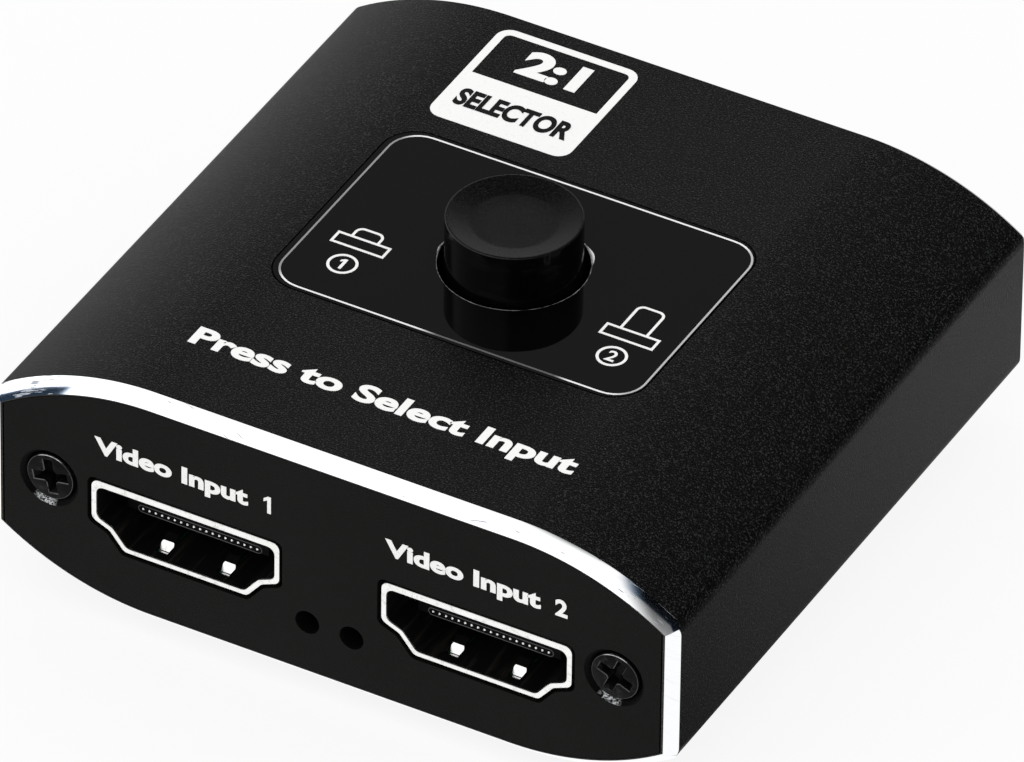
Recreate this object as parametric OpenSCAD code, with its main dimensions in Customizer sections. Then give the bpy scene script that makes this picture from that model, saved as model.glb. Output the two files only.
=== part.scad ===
// Two-input video switch box with a latching push button
// X runs across the front, Y from front to rear, Z up; the origin lies on the floor under the housing's middle

/* [Housing] */
// Width of the extruded sleeve
body_w = 54; // [48:0.5:64]
// Depth of the sleeve from front to rear
body_d = 52; // [51:0.5:70]
// Height of the sleeve without the button
body_h = 19.8; // [19.2:0.1:24]
// Width of the level strip along the top and along the bottom
flat_w = 28.4; // [24:0.2:34]
// Height of the upright sides between the ridges
side_h = 11.5; // [10.5:0.1:13]
// Rounding of the four long ridges
ridge_r = 1.6; // [0.6:0.1:2.4]
// Wall of the sleeve
wall = 1.6; // [1.5:0.05:1.9]
// Bright bevel around both ends of the sleeve
end_bevel = 0.95; // [0.5:0.05:1.1]
// Diameter of the rubber feet
foot_d = 7; // [5:0.5:9]
// Height of the rubber feet
foot_h = 1.2; // [0.8:0.1:3]

/* [End plates] */
// Thickness of the two end plates
plate_t = 1.6; // [1.5:0.1:2]
// Distance from the sleeve's side to the screw axis
screw_edge = 4.7; // [4.5:0.1:4.9]
// Diameter of the screw heads
screw_head_d = 3.9; // [3.5:0.1:4]
// Diameter of the countersinks at the plate's face
countersink_d = 4.7; // [4.3:0.1:4.9]
// Diameter of the screw shanks
screw_d = 2; // [1.7:0.1:2.2]
// Length of the screws under their heads
screw_l = 8; // [5:0.5:12]

/* [Sockets] */
// Height of the socket axes above the sleeve's underside
socket_z = 8.33; // [8.1:0.01:9]
// Outside width of a socket shell
socket_w = 15; // [14.4:0.1:15.2]
// Outside height of a socket shell
socket_h = 5.55; // [5.4:0.05:5.8]
// Length of a socket shell
socket_l = 11; // [10:0.1:12]
// Sheet of the socket shells
shell_t = 0.5; // [0.4:0.05:0.6]
// Thickness of the contact tongue
tongue_t = 1.1; // [0.9:0.05:1.3]

/* [Selector button] */
// Diameter of the button cap
cap_d = 9.75; // [8.5:0.05:10.2]
// Diameter of the hole in the top
hole_d = 10.9; // [10.8:0.05:12]
// Height of the cap above the top when it is up
cap_rise = 4.1; // [3.4:0.1:5]
// Depth of the dish in the cap
dish = 0.5; // [0.2:0.05:0.8]
// Travel of the button down to its stop
travel = 2.5; // [1.8:0.1:2.6]
// Width of the glossy overlay
overlay_w = 29.4; // [20:0.1:30]
// Depth of the glossy overlay from front to rear
overlay_d = 20.4; // [16:0.1:30]
// Thickness of the glossy overlay
overlay_t = 0.5; // [0.3:0.05:0.7]
// Corner radius of the glossy overlay
overlay_r = 2.7; // [1:0.1:4]

/* [Lights] */
// Diameter of the holes for the lights
light_hole_d = 1.9; // [1.6:0.1:2.2]
// Diameter of the lamps
lamp_d = 1.8; // [1.5:0.1:2]

/* [Circuit board] */
// Thickness of the circuit board
board_t = 1; // [0.8:0.1:1.2]
// Side of the selector chip
chip_w = 8; // [5:0.5:9]

/* [Hidden] */
$fn = 64;
// Small flat rim left between the bevel and the plate, and the play of the plate in its seat
rim = 0.1;
plate_play = 0.05;
// Play around the socket shells, the board, the button's stem and the moving slider
shell_play = 0.25;
board_play = 0.15;
slide_play = 0.3;
overlay_play = 0.08;

front_y = -body_d / 2;
rear_y = body_d / 2;
mid_h = body_h / 2;
shoulder_w = (body_w - flat_w) / 2;
shoulder_drop = (body_h - side_h) / 2;
shoulder_r = (shoulder_w * shoulder_w + shoulder_drop * shoulder_drop) / (2 * shoulder_drop);
seat_inset = end_bevel + rim;
screw_x = body_w / 2 - screw_edge;
roof_z = body_h - wall;
foot_edge = 0.4;
foot_x = flat_w / 2 - foot_d / 2 - 1.2;
foot_y = rear_y - end_bevel - foot_d / 2 - 2.5;

// Screw channels of the sleeve; most of the width left between them parts the sockets, and a fifth of that
// gap parts the lights
channel_r = 2.5;
channel_web = 3.6;
socket_room = screw_x - channel_r - socket_w;
input_pitch = socket_w + socket_room * 5 / 3;
light_pitch = light_hole_d + (input_pitch - socket_w) / 5;

board_top = socket_z - socket_h / 2;
board_bottom = board_top - board_t;
board_w = body_w - 2 * wall - 3.2;
board_d = body_d - 2 * plate_t - 0.4;
rail_x = board_w / 2 - 1.4;
light_z = board_top - board_t / 2 + 0.15;

// The socket opening steps in twice towards its narrow lower side
socket_foot_w = socket_w - 5.2;
socket_step_w = socket_w - 2.86;
socket_side = socket_h - 2.06;
socket_step = 0.62;
socket_round = 0.6;
mouth_set = 0.05;
tongue_w = 11.2;
tongue_z = 0.1;
tongue_tip = 1.9;
block_y = 6.9;
contact_t = 0.16;
contact_w = 0.32;
contact_pitch = 1;
tab_x = 2.45;
leg_w = 1.4;
leg_h = 0.7;
leg_places = [0.51 * socket_l, 0.855 * socket_l];

terminal_pitch = 2;
terminal_w = 0.8;
terminal_t = 0.3;
terminal_rise = 2.4;
terminal_drop = 1;
ear_w = 3;
ear_l = 3;
ear_t = 0.3;
case_w = 8.5;
case_floor = 0.8;
case_wall = 0.8;
slider_h = 4.1;
slider_x = 4.6;
slider_y = 5.2;
slider_top = board_top + case_floor + 0.1 + travel + slider_h;
cover_t = 0.4;
cover_top = slider_top + cover_t;
slider_bottom = slider_top - slider_h;
case_inner = case_w - 2 * case_wall;
terminal_x = case_inner / 2 - terminal_t / 2;
stem_w = 3.2;
cap_top = body_h + cap_rise;
cap_bottom = cover_top + travel + 0.4;
cap_floor = cap_top - dish;
cap_roof = cap_floor - 1;
stem_top = cap_roof - 0.2;
spring_pocket = 1.6;
spring_d = 2.6;
wire_d = 0.25;
spring_turns = 5;
floor_z = board_top + case_floor;
pin_rise = 0.7;

lamp_y = front_y + plate_t + 0.15;
lamp_l = 3.2;
notch_y = lamp_y + lamp_l + 0.15;
lead_w = 0.4;
lead_l = 2.4;
lamp_flange = 0.15;

chip_x = 13;
chip_y = 3;
chip_h = 0.9;
regulator_x = -13;
regulator_y = 1.8;
regulator_w = 3;
regulator_d = 1.6;
regulator_h = 1.1;
regulator_foot = 0.4;
capacitor_w = 0.5;
capacitor_l = 1;
capacitor_pitch = 1.2;
resistor_x = -8.1;
resistor_w = 0.5;
resistor_l = 1;
resistor_h = 0.35;
resistor_pitch = 0.8;

housing();
rubber_feet();
control_overlay();
front_plate();
rear_plate();
front_screws();
rear_screws();
circuit_board();
input_1_shell();
input_1_insulator();
input_1_contacts();
input_2_shell();
input_2_insulator();
input_2_contacts();
output_shell();
output_insulator();
output_contacts();
button_cap();
switch_case();
switch_cover();
switch_slider();
return_spring();
latch_wire();
sliding_contacts();
switch_terminals();
indicator_lamp_1();
indicator_lamp_2();
lamp_leads();
selector_chip();
regulator_chip();
chip_capacitors();
chip_resistors();

// Helpers for outlines
function unit(v) = v / norm(v);
function ring(points, i) = points[(i + len(points)) % len(points)];
function edge_normal(points, i) =
    let (e = unit(ring(points, i + 1) - ring(points, i)))
    [e[1], -e[0]];
// Counter-clockwise outline moved outwards by d
function grown(points, d) = [
    for (i = [0:len(points) - 1])
        let (a = edge_normal(points, i - 1), b = edge_normal(points, i))
        points[i] + d * (a + b) / (1 + a * b)
];
// One corner as an arc between its two edges
function corner_arc(p, q, n, r, steps) =
    let (
        u = unit(p - q),
        v = unit(n - q),
        half = acos(u * v) / 2,
        m = q + unit(u + v) * r / sin(half),
        a = q + u * r / tan(half) - m,
        b = q + v * r / tan(half) - m,
        start = atan2(a[1], a[0]),
        sweep = atan2(cross(a, b), a * b)
    )
    [for (k = [0:steps]) m + r * [cos(start + sweep * k / steps), sin(start + sweep * k / steps)]];
function rounded(points, r, steps = 4) = [
    for (i = [0:len(points) - 1])
        each corner_arc(ring(points, i - 1), points[i], ring(points, i + 1), r, steps)
];

// A flat outline drawn in X and Z, extruded along Y from y0
module along_y(y0, length) {
    translate([0, y0 + length, 0]) rotate([90, 0, 0]) linear_extrude(length) children();
}
// A flat outline drawn in Y and Z, extruded along X from x0
module across_x(x0, width) {
    translate([x0, 0, 0]) rotate([90, 0, 90]) linear_extrude(width) children();
}
module both_sides() {
    children();
    mirror([1, 0, 0]) children();
}
module round_rect(w, d, r) {
    square([w - 2 * r, d], center = true);
    square([w, d - 2 * r], center = true);
    for (sx = [-1, 1], sy = [-1, 1]) translate([sx * (w / 2 - r), sy * (d / 2 - r)]) circle(r = r);
}

// Section of the sleeve drawn in by inset: level top and bottom, round shoulders, upright sides
module crown(inset) {
    for (s = [-1, 1]) translate([s * flat_w / 2, body_h - shoulder_r]) circle(r = shoulder_r - inset);
    translate([-flat_w / 2, -body_h]) square([flat_w, 2 * body_h - inset]);
}
module section(inset) {
    intersection() {
        translate([-body_w / 2 + inset, inset]) square([body_w - 2 * inset, body_h - 2 * inset]);
        crown(inset);
        translate([0, body_h]) mirror([0, 1]) crown(inset);
    }
}

// Solid bar of that section with both ends bevelled
module bevelled_round() {
    rotate([90, 0, 0]) rotate_extrude() polygon([
        [0, front_y],
        [shoulder_r - end_bevel, front_y],
        [shoulder_r, front_y + end_bevel],
        [shoulder_r, rear_y - end_bevel],
        [shoulder_r - end_bevel, rear_y],
        [0, rear_y]
    ]);
}
module crown_bar() {
    for (s = [-1, 1]) translate([s * flat_w / 2, 0, body_h - shoulder_r]) bevelled_round();
    across_x(-flat_w / 2, flat_w) polygon([
        [front_y, -body_h],
        [rear_y, -body_h],
        [rear_y, body_h - end_bevel],
        [rear_y - end_bevel, body_h],
        [front_y + end_bevel, body_h],
        [front_y, body_h - end_bevel]
    ]);
}
module side_bar() {
    half = body_w / 2;
    linear_extrude(body_h) polygon([
        [-half, front_y + end_bevel],
        [-half + end_bevel, front_y],
        [half - end_bevel, front_y],
        [half, front_y + end_bevel],
        [half, rear_y - end_bevel],
        [half - end_bevel, rear_y],
        [-half + end_bevel, rear_y],
        [-half, rear_y - end_bevel]
    ]);
}
// What is taken off one ridge to round it
module ridge_cutter() {
    fx = body_w / 2 - ridge_r;
    reach = fx - flat_w / 2;
    fz = body_h - shoulder_r + sqrt((shoulder_r - ridge_r) * (shoulder_r - ridge_r) - reach * reach);
    lean = unit([fx - flat_w / 2, fz - body_h + shoulder_r]);
    far = 2 * ridge_r;
    along_y(front_y - 1, body_d + 2) difference() {
        polygon([[fx, fz], [fx + far, fz], [fx + far, fz + far], [fx + far * lean[0], fz + far * lean[1]]]);
        translate([fx, fz]) circle(r = ridge_r);
    }
}
module sleeve_bar() {
    difference() {
        intersection() {
            side_bar();
            crown_bar();
            translate([0, 0, body_h]) mirror([0, 0, 1]) crown_bar();
        }
        both_sides() {
            ridge_cutter();
            translate([0, 0, body_h]) mirror([0, 0, 1]) ridge_cutter();
        }
    }
}
// Board rails and screw channels left standing inside the sleeve
module inner_ribs() {
    translate([rail_x, 0]) square([body_w, board_bottom]);
    translate([rail_x, board_top + board_play]) square([body_w, 1]);
    translate([screw_x, mid_h]) circle(r = channel_r);
    translate([screw_x, mid_h - channel_web / 2]) square([body_w, channel_web]);
}
module hollow() {
    difference() {
        section(wall);
        inner_ribs();
        mirror([1, 0]) inner_ribs();
    }
}

// Four stick-on feet under the level strip, and the lift that they give to everything else
module on_feet() {
    translate([0, 0, foot_h]) children();
}
module rubber_feet() {
    color([0.08, 0.08, 0.08]) for (sx = [-1, 1], sy = [-1, 1]) translate([sx * foot_x, sy * foot_y, 0])
        rotate_extrude() polygon([
            [0, 0],
            [foot_d / 2 - foot_edge, 0],
            [foot_d / 2, foot_edge],
            [foot_d / 2, foot_h],
            [0, foot_h]
        ]);
}

module housing() {
    on_feet() color([0.05, 0.05, 0.05]) difference() {
        sleeve_bar();
        along_y(front_y - 1, body_d + 2) hollow();
        along_y(front_y - 1, plate_t + 1) section(seat_inset);
        along_y(rear_y - plate_t, plate_t + 1) section(seat_inset);
        for (s = [-1, 1]) translate([s * screw_x, rear_y, mid_h]) rotate([90, 0, 0])
            cylinder(h = body_d, d = screw_d + 0.1);
        translate([0, 0, roof_z - 1]) cylinder(h = wall + 2, d = hole_d);
        translate([0, 0, body_h - overlay_t]) linear_extrude(1) round_rect(overlay_w, overlay_d, overlay_r);
    }
}

module control_overlay() {
    on_feet() color([0.02, 0.02, 0.03]) translate([0, 0, body_h - overlay_t]) linear_extrude(overlay_t)
        difference() {
            round_rect(overlay_w - 2 * overlay_play, overlay_d - 2 * overlay_play, overlay_r - overlay_play);
            circle(d = hole_d);
        }
}

// Blank end plate with its two countersunk screw holes; drawn for the front
module plate_blank() {
    difference() {
        along_y(front_y, plate_t) section(seat_inset + plate_play);
        for (s = [-1, 1]) translate([s * screw_x, front_y, mid_h]) rotate([-90, 0, 0]) {
            cylinder(h = plate_t + 1, d = screw_d + 0.3);
            translate([0, 0, -1]) cylinder(h = 1 + countersink_d / 2, r1 = countersink_d / 2 + 1, r2 = 0);
        }
    }
}
module socket_window(x) {
    along_y(front_y - 1, plate_t + 2) translate([x, socket_z]) polygon(socket_path(shell_play));
}
module front_plate() {
    on_feet() color([0.04, 0.04, 0.04]) difference() {
        plate_blank();
        for (s = [-1, 1]) socket_window(s * input_pitch / 2);
        for (s = [-1, 1]) translate([s * light_pitch / 2, front_y - 1, light_z]) rotate([-90, 0, 0])
            cylinder(h = plate_t + 2, d = light_hole_d);
    }
}
module rear_plate() {
    on_feet() color([0.04, 0.04, 0.04]) rotate([0, 0, 180]) difference() {
        plate_blank();
        socket_window(0);
    }
}

// Countersunk cross-head screw, axis along Y, its head at the plate's face
module screw(turn) {
    head_r = screw_head_d / 2;
    rim_y = (countersink_d - screw_head_d) / 2;
    face_y = min(0.12, rim_y / 2);
    difference() {
        rotate([-90, 0, 0]) rotate_extrude() polygon([
            [0, face_y],
            [head_r - 0.1, face_y],
            [head_r, face_y + 0.1],
            [head_r, rim_y - 0.02],
            [screw_d / 2, rim_y + head_r - screw_d / 2 - 0.02],
            [screw_d / 2, screw_l - 0.5],
            [screw_d / 2 - 0.5, screw_l],
            [0, screw_l]
        ]);
        for (a = [0, 90]) rotate([0, turn + a, 0]) translate([-0.32, face_y - 1, -1.2]) cube([0.64, 1.8, 2.4]);
        translate([0, face_y - 1, 0]) rotate([-90, 0, 0]) cylinder(h = 2.2, r1 = 0.85, r2 = 0.35);
    }
}
module front_screws() {
    on_feet() color([0.1, 0.1, 0.1]) {
        translate([-screw_x, front_y, mid_h]) screw(0);
        translate([screw_x, front_y, mid_h]) screw(40);
    }
}
module rear_screws() {
    on_feet() color([0.1, 0.1, 0.1]) rotate([0, 0, 180]) {
        translate([-screw_x, front_y, mid_h]) screw(20);
        translate([screw_x, front_y, mid_h]) screw(65);
    }
}

// Circuit board with a bay for the lamps, slots for the shell legs and holes for the switch
module board_holes(x) {
    for (s = [-1, 1], y = leg_places)
        translate([x + s * (socket_w / 2 - shell_t / 2) - 0.45, front_y + mouth_set + y - leg_w / 2 - 0.2, 0])
            cube([0.9, leg_w + 0.4, body_h]);
}
module circuit_board() {
    on_feet() color([0.05, 0.3, 0.15]) difference() {
        translate([-board_w / 2, -board_d / 2, board_bottom]) cube([board_w, board_d, board_t]);
        translate([-light_pitch / 2 - 1.4, front_y, 0]) cube([light_pitch + 2.8, notch_y - front_y, body_h]);
        for (s = [-1, 1]) board_holes(s * input_pitch / 2);
        rotate([0, 0, 180]) board_holes(0);
        for (s = [-1, 1], i = [-1:1]) translate([s * terminal_x, i * terminal_pitch, 0])
            cylinder(h = body_h, d = terminal_w + terminal_t);
    }
}

// Video socket, drawn with its mouth at y = 0 and its middle at z = 0
function socket_points() = [
    [-socket_foot_w / 2, -socket_h / 2],
    [socket_foot_w / 2, -socket_h / 2],
    [socket_step_w / 2, socket_h / 2 - socket_side - socket_step],
    [socket_w / 2, socket_h / 2 - socket_side],
    [socket_w / 2, socket_h / 2],
    [-socket_w / 2, socket_h / 2],
    [-socket_w / 2, socket_h / 2 - socket_side],
    [-socket_step_w / 2, socket_h / 2 - socket_side - socket_step]
];
function socket_path(grow) = rounded(grown(socket_points(), grow), socket_round);
// Spring tab: its line in Y and in height above the outside of its wall
function tab_line() = [[6.2, shell_t / 2], [2.4, shell_t + 0.25], [1.6, shell_t + 0.2], [1.15, shell_t - 0.1]];
module spring_tab() {
    line = tab_line();
    last = len(line) - 1;
    across_x(-0.65, 1.3) polygon([
        for (p = line) p + [0, 0.11],
        for (i = [0:last]) line[last - i] - [0, 0.11]
    ]);
}
module on_socket_floor() {
    for (s = [-1, 1]) translate([s * tab_x, 0, -socket_h / 2]) children();
}
module shell() {
    difference() {
        along_y(0, socket_l) polygon(socket_path(0));
        along_y(-1, socket_l + 2) polygon(socket_path(-shell_t));
        on_socket_floor() translate([-1, 0.9, -1]) cube([2, 5.1, 1.2 + shell_t]);
    }
    on_socket_floor() spring_tab();
    for (s = [-1, 1], y = leg_places) translate([s * (socket_w - shell_t) / 2, y, 0])
        translate([-shell_t / 2, -leg_w / 2, -socket_h / 2 - board_t - leg_h])
            cube([shell_t, leg_w, socket_h / 2 + board_t + leg_h]);
}
// One contact: a strip along the tongue, a drop behind the block and a solder foot
module contact(x, top) {
    tail = socket_l + 0.05;
    foot = -socket_h / 2;
    across_x(x - contact_w / 2, contact_w) polygon([
        [tongue_tip, top],
        [tail + contact_t, top],
        [tail + contact_t, foot + contact_t],
        [tail + 1, foot + contact_t],
        [tail + 1, foot],
        [tail, foot],
        [tail, top - contact_t],
        [tongue_tip, top - contact_t]
    ]);
}
module contacts() {
    for (i = [0:9]) contact((i - 4.5) * contact_pitch, tongue_z + tongue_t / 2 + 0.05);
    for (i = [0:8]) contact((i - 4) * contact_pitch, tongue_z - tongue_t / 2 + contact_t - 0.05);
}
module insulator() {
    difference() {
        union() {
            along_y(block_y, socket_l - block_y) polygon(socket_path(-shell_t - 0.05));
            across_x(-tongue_w / 2, tongue_w) translate([0, tongue_z]) polygon([
                [tongue_tip, -tongue_t / 2 + 0.15],
                [tongue_tip + 0.2, -tongue_t / 2],
                [block_y + 1, -tongue_t / 2],
                [block_y + 1, tongue_t / 2],
                [tongue_tip + 0.2, tongue_t / 2],
                [tongue_tip, tongue_t / 2 - 0.15]
            ]);
        }
        contacts();
    }
}
module at_input(s) {
    translate([s * input_pitch / 2, front_y + mouth_set, socket_z]) children();
}
module at_output() {
    translate([0, rear_y - mouth_set, socket_z]) rotate([0, 0, 180]) children();
}
module input_1_shell() {
    on_feet() color([0.75, 0.75, 0.72]) at_input(-1) shell();
}
module input_2_shell() {
    on_feet() color([0.75, 0.75, 0.72]) at_input(1) shell();
}
module output_shell() {
    on_feet() color([0.75, 0.75, 0.72]) at_output() shell();
}
module input_1_insulator() {
    on_feet() color([0.05, 0.05, 0.05]) at_input(-1) insulator();
}
module input_2_insulator() {
    on_feet() color([0.05, 0.05, 0.05]) at_input(1) insulator();
}
module output_insulator() {
    on_feet() color([0.05, 0.05, 0.05]) at_output() insulator();
}
module input_1_contacts() {
    on_feet() color([0.8, 0.65, 0.3]) at_input(-1) contacts();
}
module input_2_contacts() {
    on_feet() color([0.8, 0.65, 0.3]) at_input(1) contacts();
}
module output_contacts() {
    on_feet() color([0.8, 0.65, 0.3]) at_output() contacts();
}

// Dished button cap with a skirt and a square socket for the stem
module button_cap() {
    r = cap_d / 2;
    edge = 0.3;
    on_feet() color([0.03, 0.03, 0.03]) difference() {
        rotate_extrude() polygon([
            [0, cap_floor],
            [r * 0.58, cap_floor],
            [r - edge, cap_top],
            for (a = [75:-15:0]) [r - edge + edge * cos(a), cap_top - edge + edge * sin(a)],
            [r, cap_bottom],
            [r - 1, cap_bottom],
            [r - 1, cap_roof],
            [2.9, cap_roof],
            [2.9, cap_bottom],
            [0, cap_bottom]
        ]);
        translate([-stem_w / 2, -stem_w / 2, cap_bottom - 1])
            cube([stem_w, stem_w, stem_top + 0.1 - cap_bottom + 1]);
    }
}

// Latching switch under the button
module switch_case() {
    on_feet() color([0.1, 0.1, 0.1]) difference() {
        translate([-case_w / 2, -case_w / 2, board_top]) cube([case_w, case_w, slider_top - board_top]);
        translate([-case_inner / 2, -case_inner / 2, floor_z]) cube([case_inner, case_inner, body_h]);
        terminal_set();
    }
    on_feet() color([0.1, 0.1, 0.1]) translate([0, 0, floor_z - 0.1]) cylinder(h = 1.1, d = 1.4);
}
module switch_cover() {
    open_w = stem_w + 2 * slide_play;
    on_feet() color([0.7, 0.7, 0.68]) {
        difference() {
            translate([-case_w / 2, -case_w / 2, slider_top]) cube([case_w, case_w, cover_t]);
            translate([-open_w / 2, -open_w / 2, slider_top - 1]) cube([open_w, open_w, cover_t + 2]);
        }
        for (s = [-1, 1]) translate([-ear_w / 2, s * (case_w + ear_t) / 2 - ear_t / 2, slider_top - ear_l])
            cube([ear_w, ear_t, ear_l + cover_t]);
    }
}
// Heart-shaped track that the latch wire's tip runs in, drawn from the slider's lower edge
module heart_track() {
    difference() {
        polygon([[-1.1, 0.35], [-0.4, 0.35], [0, 0.6], [1.1, 1.5], [1.1, 3.75], [-1.1, 3.75]]);
        polygon([[-0.35, 1.2], [0.35, 1.7], [0.35, 2.9], [0, 2.4], [-0.35, 2.9]]);
    }
}
module switch_slider() {
    on_feet() color([0.85, 0.85, 0.82]) difference() {
        union() {
            translate([-slider_x / 2, -slider_y / 2, slider_bottom]) cube([slider_x, slider_y, slider_h]);
            translate([-stem_w / 2, -stem_w / 2, slider_top - 0.5])
                cube([stem_w, stem_w, stem_top - slider_top + 0.5]);
        }
        translate([0, 0, slider_bottom - 1]) cylinder(h = spring_pocket + 1, d = spring_d + 0.5);
        translate([0, 0, slider_bottom]) along_y(-slider_y / 2 - 1, 1.6) heart_track();
    }
}
function spring_ring(i, n, z0, z1) =
    let (
        a = 360 * spring_turns * i / n,
        m = (spring_d - wire_d) / 2,
        h = z0 + wire_d / 2 + (z1 - z0 - wire_d) * i / n
    )
    [for (k = [0:5])
        let (q = m + wire_d / 2 * cos(60 * k))
        [q * cos(a), q * sin(a), h + wire_d / 2 * sin(60 * k)]];
module return_spring() {
    n = spring_turns * 8;
    z0 = floor_z + 0.02;
    z1 = slider_bottom + spring_pocket - 0.02;
    on_feet() color([0.7, 0.7, 0.7]) polyhedron(
        points = [for (i = [0:n]) each spring_ring(i, n, z0, z1)],
        faces = [
            [for (k = [0:5]) k],
            for (i = [0:n - 1], k = [0:5]) each [
                [6 * i + k, 6 * i + 6 + k, 6 * i + (k + 1) % 6],
                [6 * i + (k + 1) % 6, 6 * i + 6 + k, 6 * i + 6 + (k + 1) % 6]
            ],
            [for (k = [5:-1:0]) 6 * n + k]
        ]
    );
}
module latch_wire() {
    pin_z = slider_bottom + pin_rise;
    leg_y = -slider_y / 2 - slide_play - 0.2;
    on_feet() color([0.7, 0.7, 0.7]) {
        translate([-0.95, leg_y - 0.2, floor_z]) cube([0.4, 0.4, pin_z + 0.2 - floor_z]);
        translate([-0.95, leg_y - 0.2, pin_z - 0.2]) cube([0.4, slide_play + 0.8, 0.4]);
        translate([-0.95, leg_y - 0.2, floor_z]) cube([1.9, 0.4, 0.4]);
    }
}
// Two leaf contacts carried on the slider's sides, each bowed out at both ends
module sliding_contacts() {
    z0 = slider_bottom + 1.3;
    gap = case_inner / 2 - terminal_t - slider_x / 2;
    on_feet() color([0.85, 0.65, 0.3]) both_sides() translate([slider_x / 2, 0, z0]) linear_extrude(1.4) {
        translate([0, -1.9]) square([0.2, 3.8]);
        for (s = [-1, 1]) translate([0, s * terminal_pitch / 2 - 0.55]) polygon([
            [0.1, 0],
            [gap - 0.3, 0.35],
            [gap - 0.3, 0.75],
            [0.1, 1.1]
        ]);
    }
}
module terminal_set() {
    rise = slider_bottom + terminal_rise - board_bottom + terminal_drop;
    for (s = [-1, 1], i = [-1:1]) translate([s * terminal_x, i * terminal_pitch, board_bottom - terminal_drop])
        translate([-terminal_t / 2, -terminal_w / 2, 0]) cube([terminal_t, terminal_w, rise]);
}
module switch_terminals() {
    on_feet() color([0.85, 0.8, 0.6]) terminal_set();
}

// Lamp with a round nose, lying along Y in the board's bay
module lamp() {
    r = lamp_d / 2;
    rotate([-90, 0, 0]) rotate_extrude() polygon([
        [0, 0],
        for (a = [75:-15:0]) [r * cos(a), r - r * sin(a)],
        [r, lamp_l - 0.4],
        [r + lamp_flange, lamp_l - 0.4],
        [r + lamp_flange, lamp_l],
        [0, lamp_l]
    ]);
}
module indicator_lamp_1() {
    on_feet() color([0.2, 0.3, 0.2]) translate([-light_pitch / 2, lamp_y, light_z]) lamp();
}
module indicator_lamp_2() {
    on_feet() color([0.2, 0.3, 0.2]) translate([light_pitch / 2, lamp_y, light_z]) lamp();
}
module lamp_leads() {
    on_feet() color([0.75, 0.75, 0.72]) for (s = [-1, 1], z = [board_top, board_bottom - lead_w])
        translate([s * light_pitch / 2 - lead_w / 2, lamp_y + lamp_l, z]) cube([lead_w, lead_l, lead_w]);
}

// Parts soldered on the board
module selector_chip() {
    on_feet() color([0.07, 0.07, 0.07]) translate([chip_x - chip_w / 2, chip_y - chip_w / 2, board_top])
        cube([chip_w, chip_w, chip_h]);
}
module solder_foot(x, y) {
    translate([x - regulator_foot / 2, y - regulator_foot, 0])
        cube([regulator_foot, 2 * regulator_foot, regulator_foot]);
}
module regulator_chip() {
    on_feet() color([0.07, 0.07, 0.07]) translate([regulator_x, regulator_y, board_top]) {
        translate([-regulator_w / 2, -regulator_d / 2, 0.1]) cube([regulator_w, regulator_d, regulator_h]);
        for (s = [-1, 1]) solder_foot(s * regulator_w / 3, -regulator_d / 2);
        solder_foot(0, regulator_d / 2);
    }
}
module capacitor_row() {
    for (i = [0:7]) translate([capacitor_pitch * (i - 3.5) - capacitor_w / 2, socket_l + 2.6, 0])
        cube([capacitor_w, capacitor_l, capacitor_w]);
}
module chip_capacitors() {
    on_feet() color([0.6, 0.5, 0.4]) translate([0, 0, board_top]) {
        for (s = [-1, 1]) translate([s * input_pitch / 2, front_y, 0]) capacitor_row();
        translate([0, rear_y, 0]) rotate([0, 0, 180]) capacitor_row();
    }
}
module chip_resistors() {
    on_feet() color([0.1, 0.1, 0.1]) for (i = [0:5])
        translate([resistor_x - resistor_l / 2, (i - 2.5) * resistor_pitch - resistor_w / 2, board_top])
            cube([resistor_l, resistor_w, resistor_h]);
}
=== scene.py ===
import math

import bmesh
import bpy
from mathutils import Matrix, Vector


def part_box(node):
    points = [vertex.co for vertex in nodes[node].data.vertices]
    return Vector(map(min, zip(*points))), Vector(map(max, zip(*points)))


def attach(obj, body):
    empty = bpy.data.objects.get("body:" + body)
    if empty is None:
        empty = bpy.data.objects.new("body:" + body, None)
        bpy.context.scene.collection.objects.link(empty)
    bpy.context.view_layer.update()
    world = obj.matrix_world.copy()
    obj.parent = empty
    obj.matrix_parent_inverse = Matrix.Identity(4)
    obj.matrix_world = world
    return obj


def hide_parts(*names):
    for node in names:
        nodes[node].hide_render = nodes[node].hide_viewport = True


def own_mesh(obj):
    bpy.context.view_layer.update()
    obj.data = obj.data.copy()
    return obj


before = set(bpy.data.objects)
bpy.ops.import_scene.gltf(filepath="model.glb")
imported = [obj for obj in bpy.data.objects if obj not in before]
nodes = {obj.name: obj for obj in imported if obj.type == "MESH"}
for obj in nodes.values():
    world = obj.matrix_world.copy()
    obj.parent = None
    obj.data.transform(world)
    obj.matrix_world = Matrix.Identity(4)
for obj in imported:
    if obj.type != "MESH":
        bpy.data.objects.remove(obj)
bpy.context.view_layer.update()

MM = 0.001


def box_mm(node):
    low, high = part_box(node)
    return [c / MM for c in low], [c / MM for c in high]


# Sizes in millimetres, taken from the frame where it has them
sleeve_low, sleeve_high = box_mm("housing")
HALF_W = sleeve_high[0]
FRONT, REAR = sleeve_low[1], sleeve_high[1]
BASE, TOP = sleeve_low[2], sleeve_high[2]
SLEEVE_H = TOP - BASE
CUT_OVER = 1
FLAT_W = 28.4
SIDE_H = 11.5
RIDGE_R = 1.6
BEVEL = 0.95
BEVEL_SIDE = 0.81
BEVEL_CROWN = 0.045
RIM = 0.1
RIM_SIDE = 1.7 * RIM
WALL = 1.6
PLATE_T = 1.6

SHOULDER_W = HALF_W - FLAT_W / 2
SHOULDER_DROP = (SLEEVE_H - SIDE_H) / 2
SHOULDER_R = (SHOULDER_W**2 + SHOULDER_DROP**2) / (2 * SHOULDER_DROP)
ARC_X, ARC_Z = FLAT_W / 2, SLEEVE_H - SHOULDER_R

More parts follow.
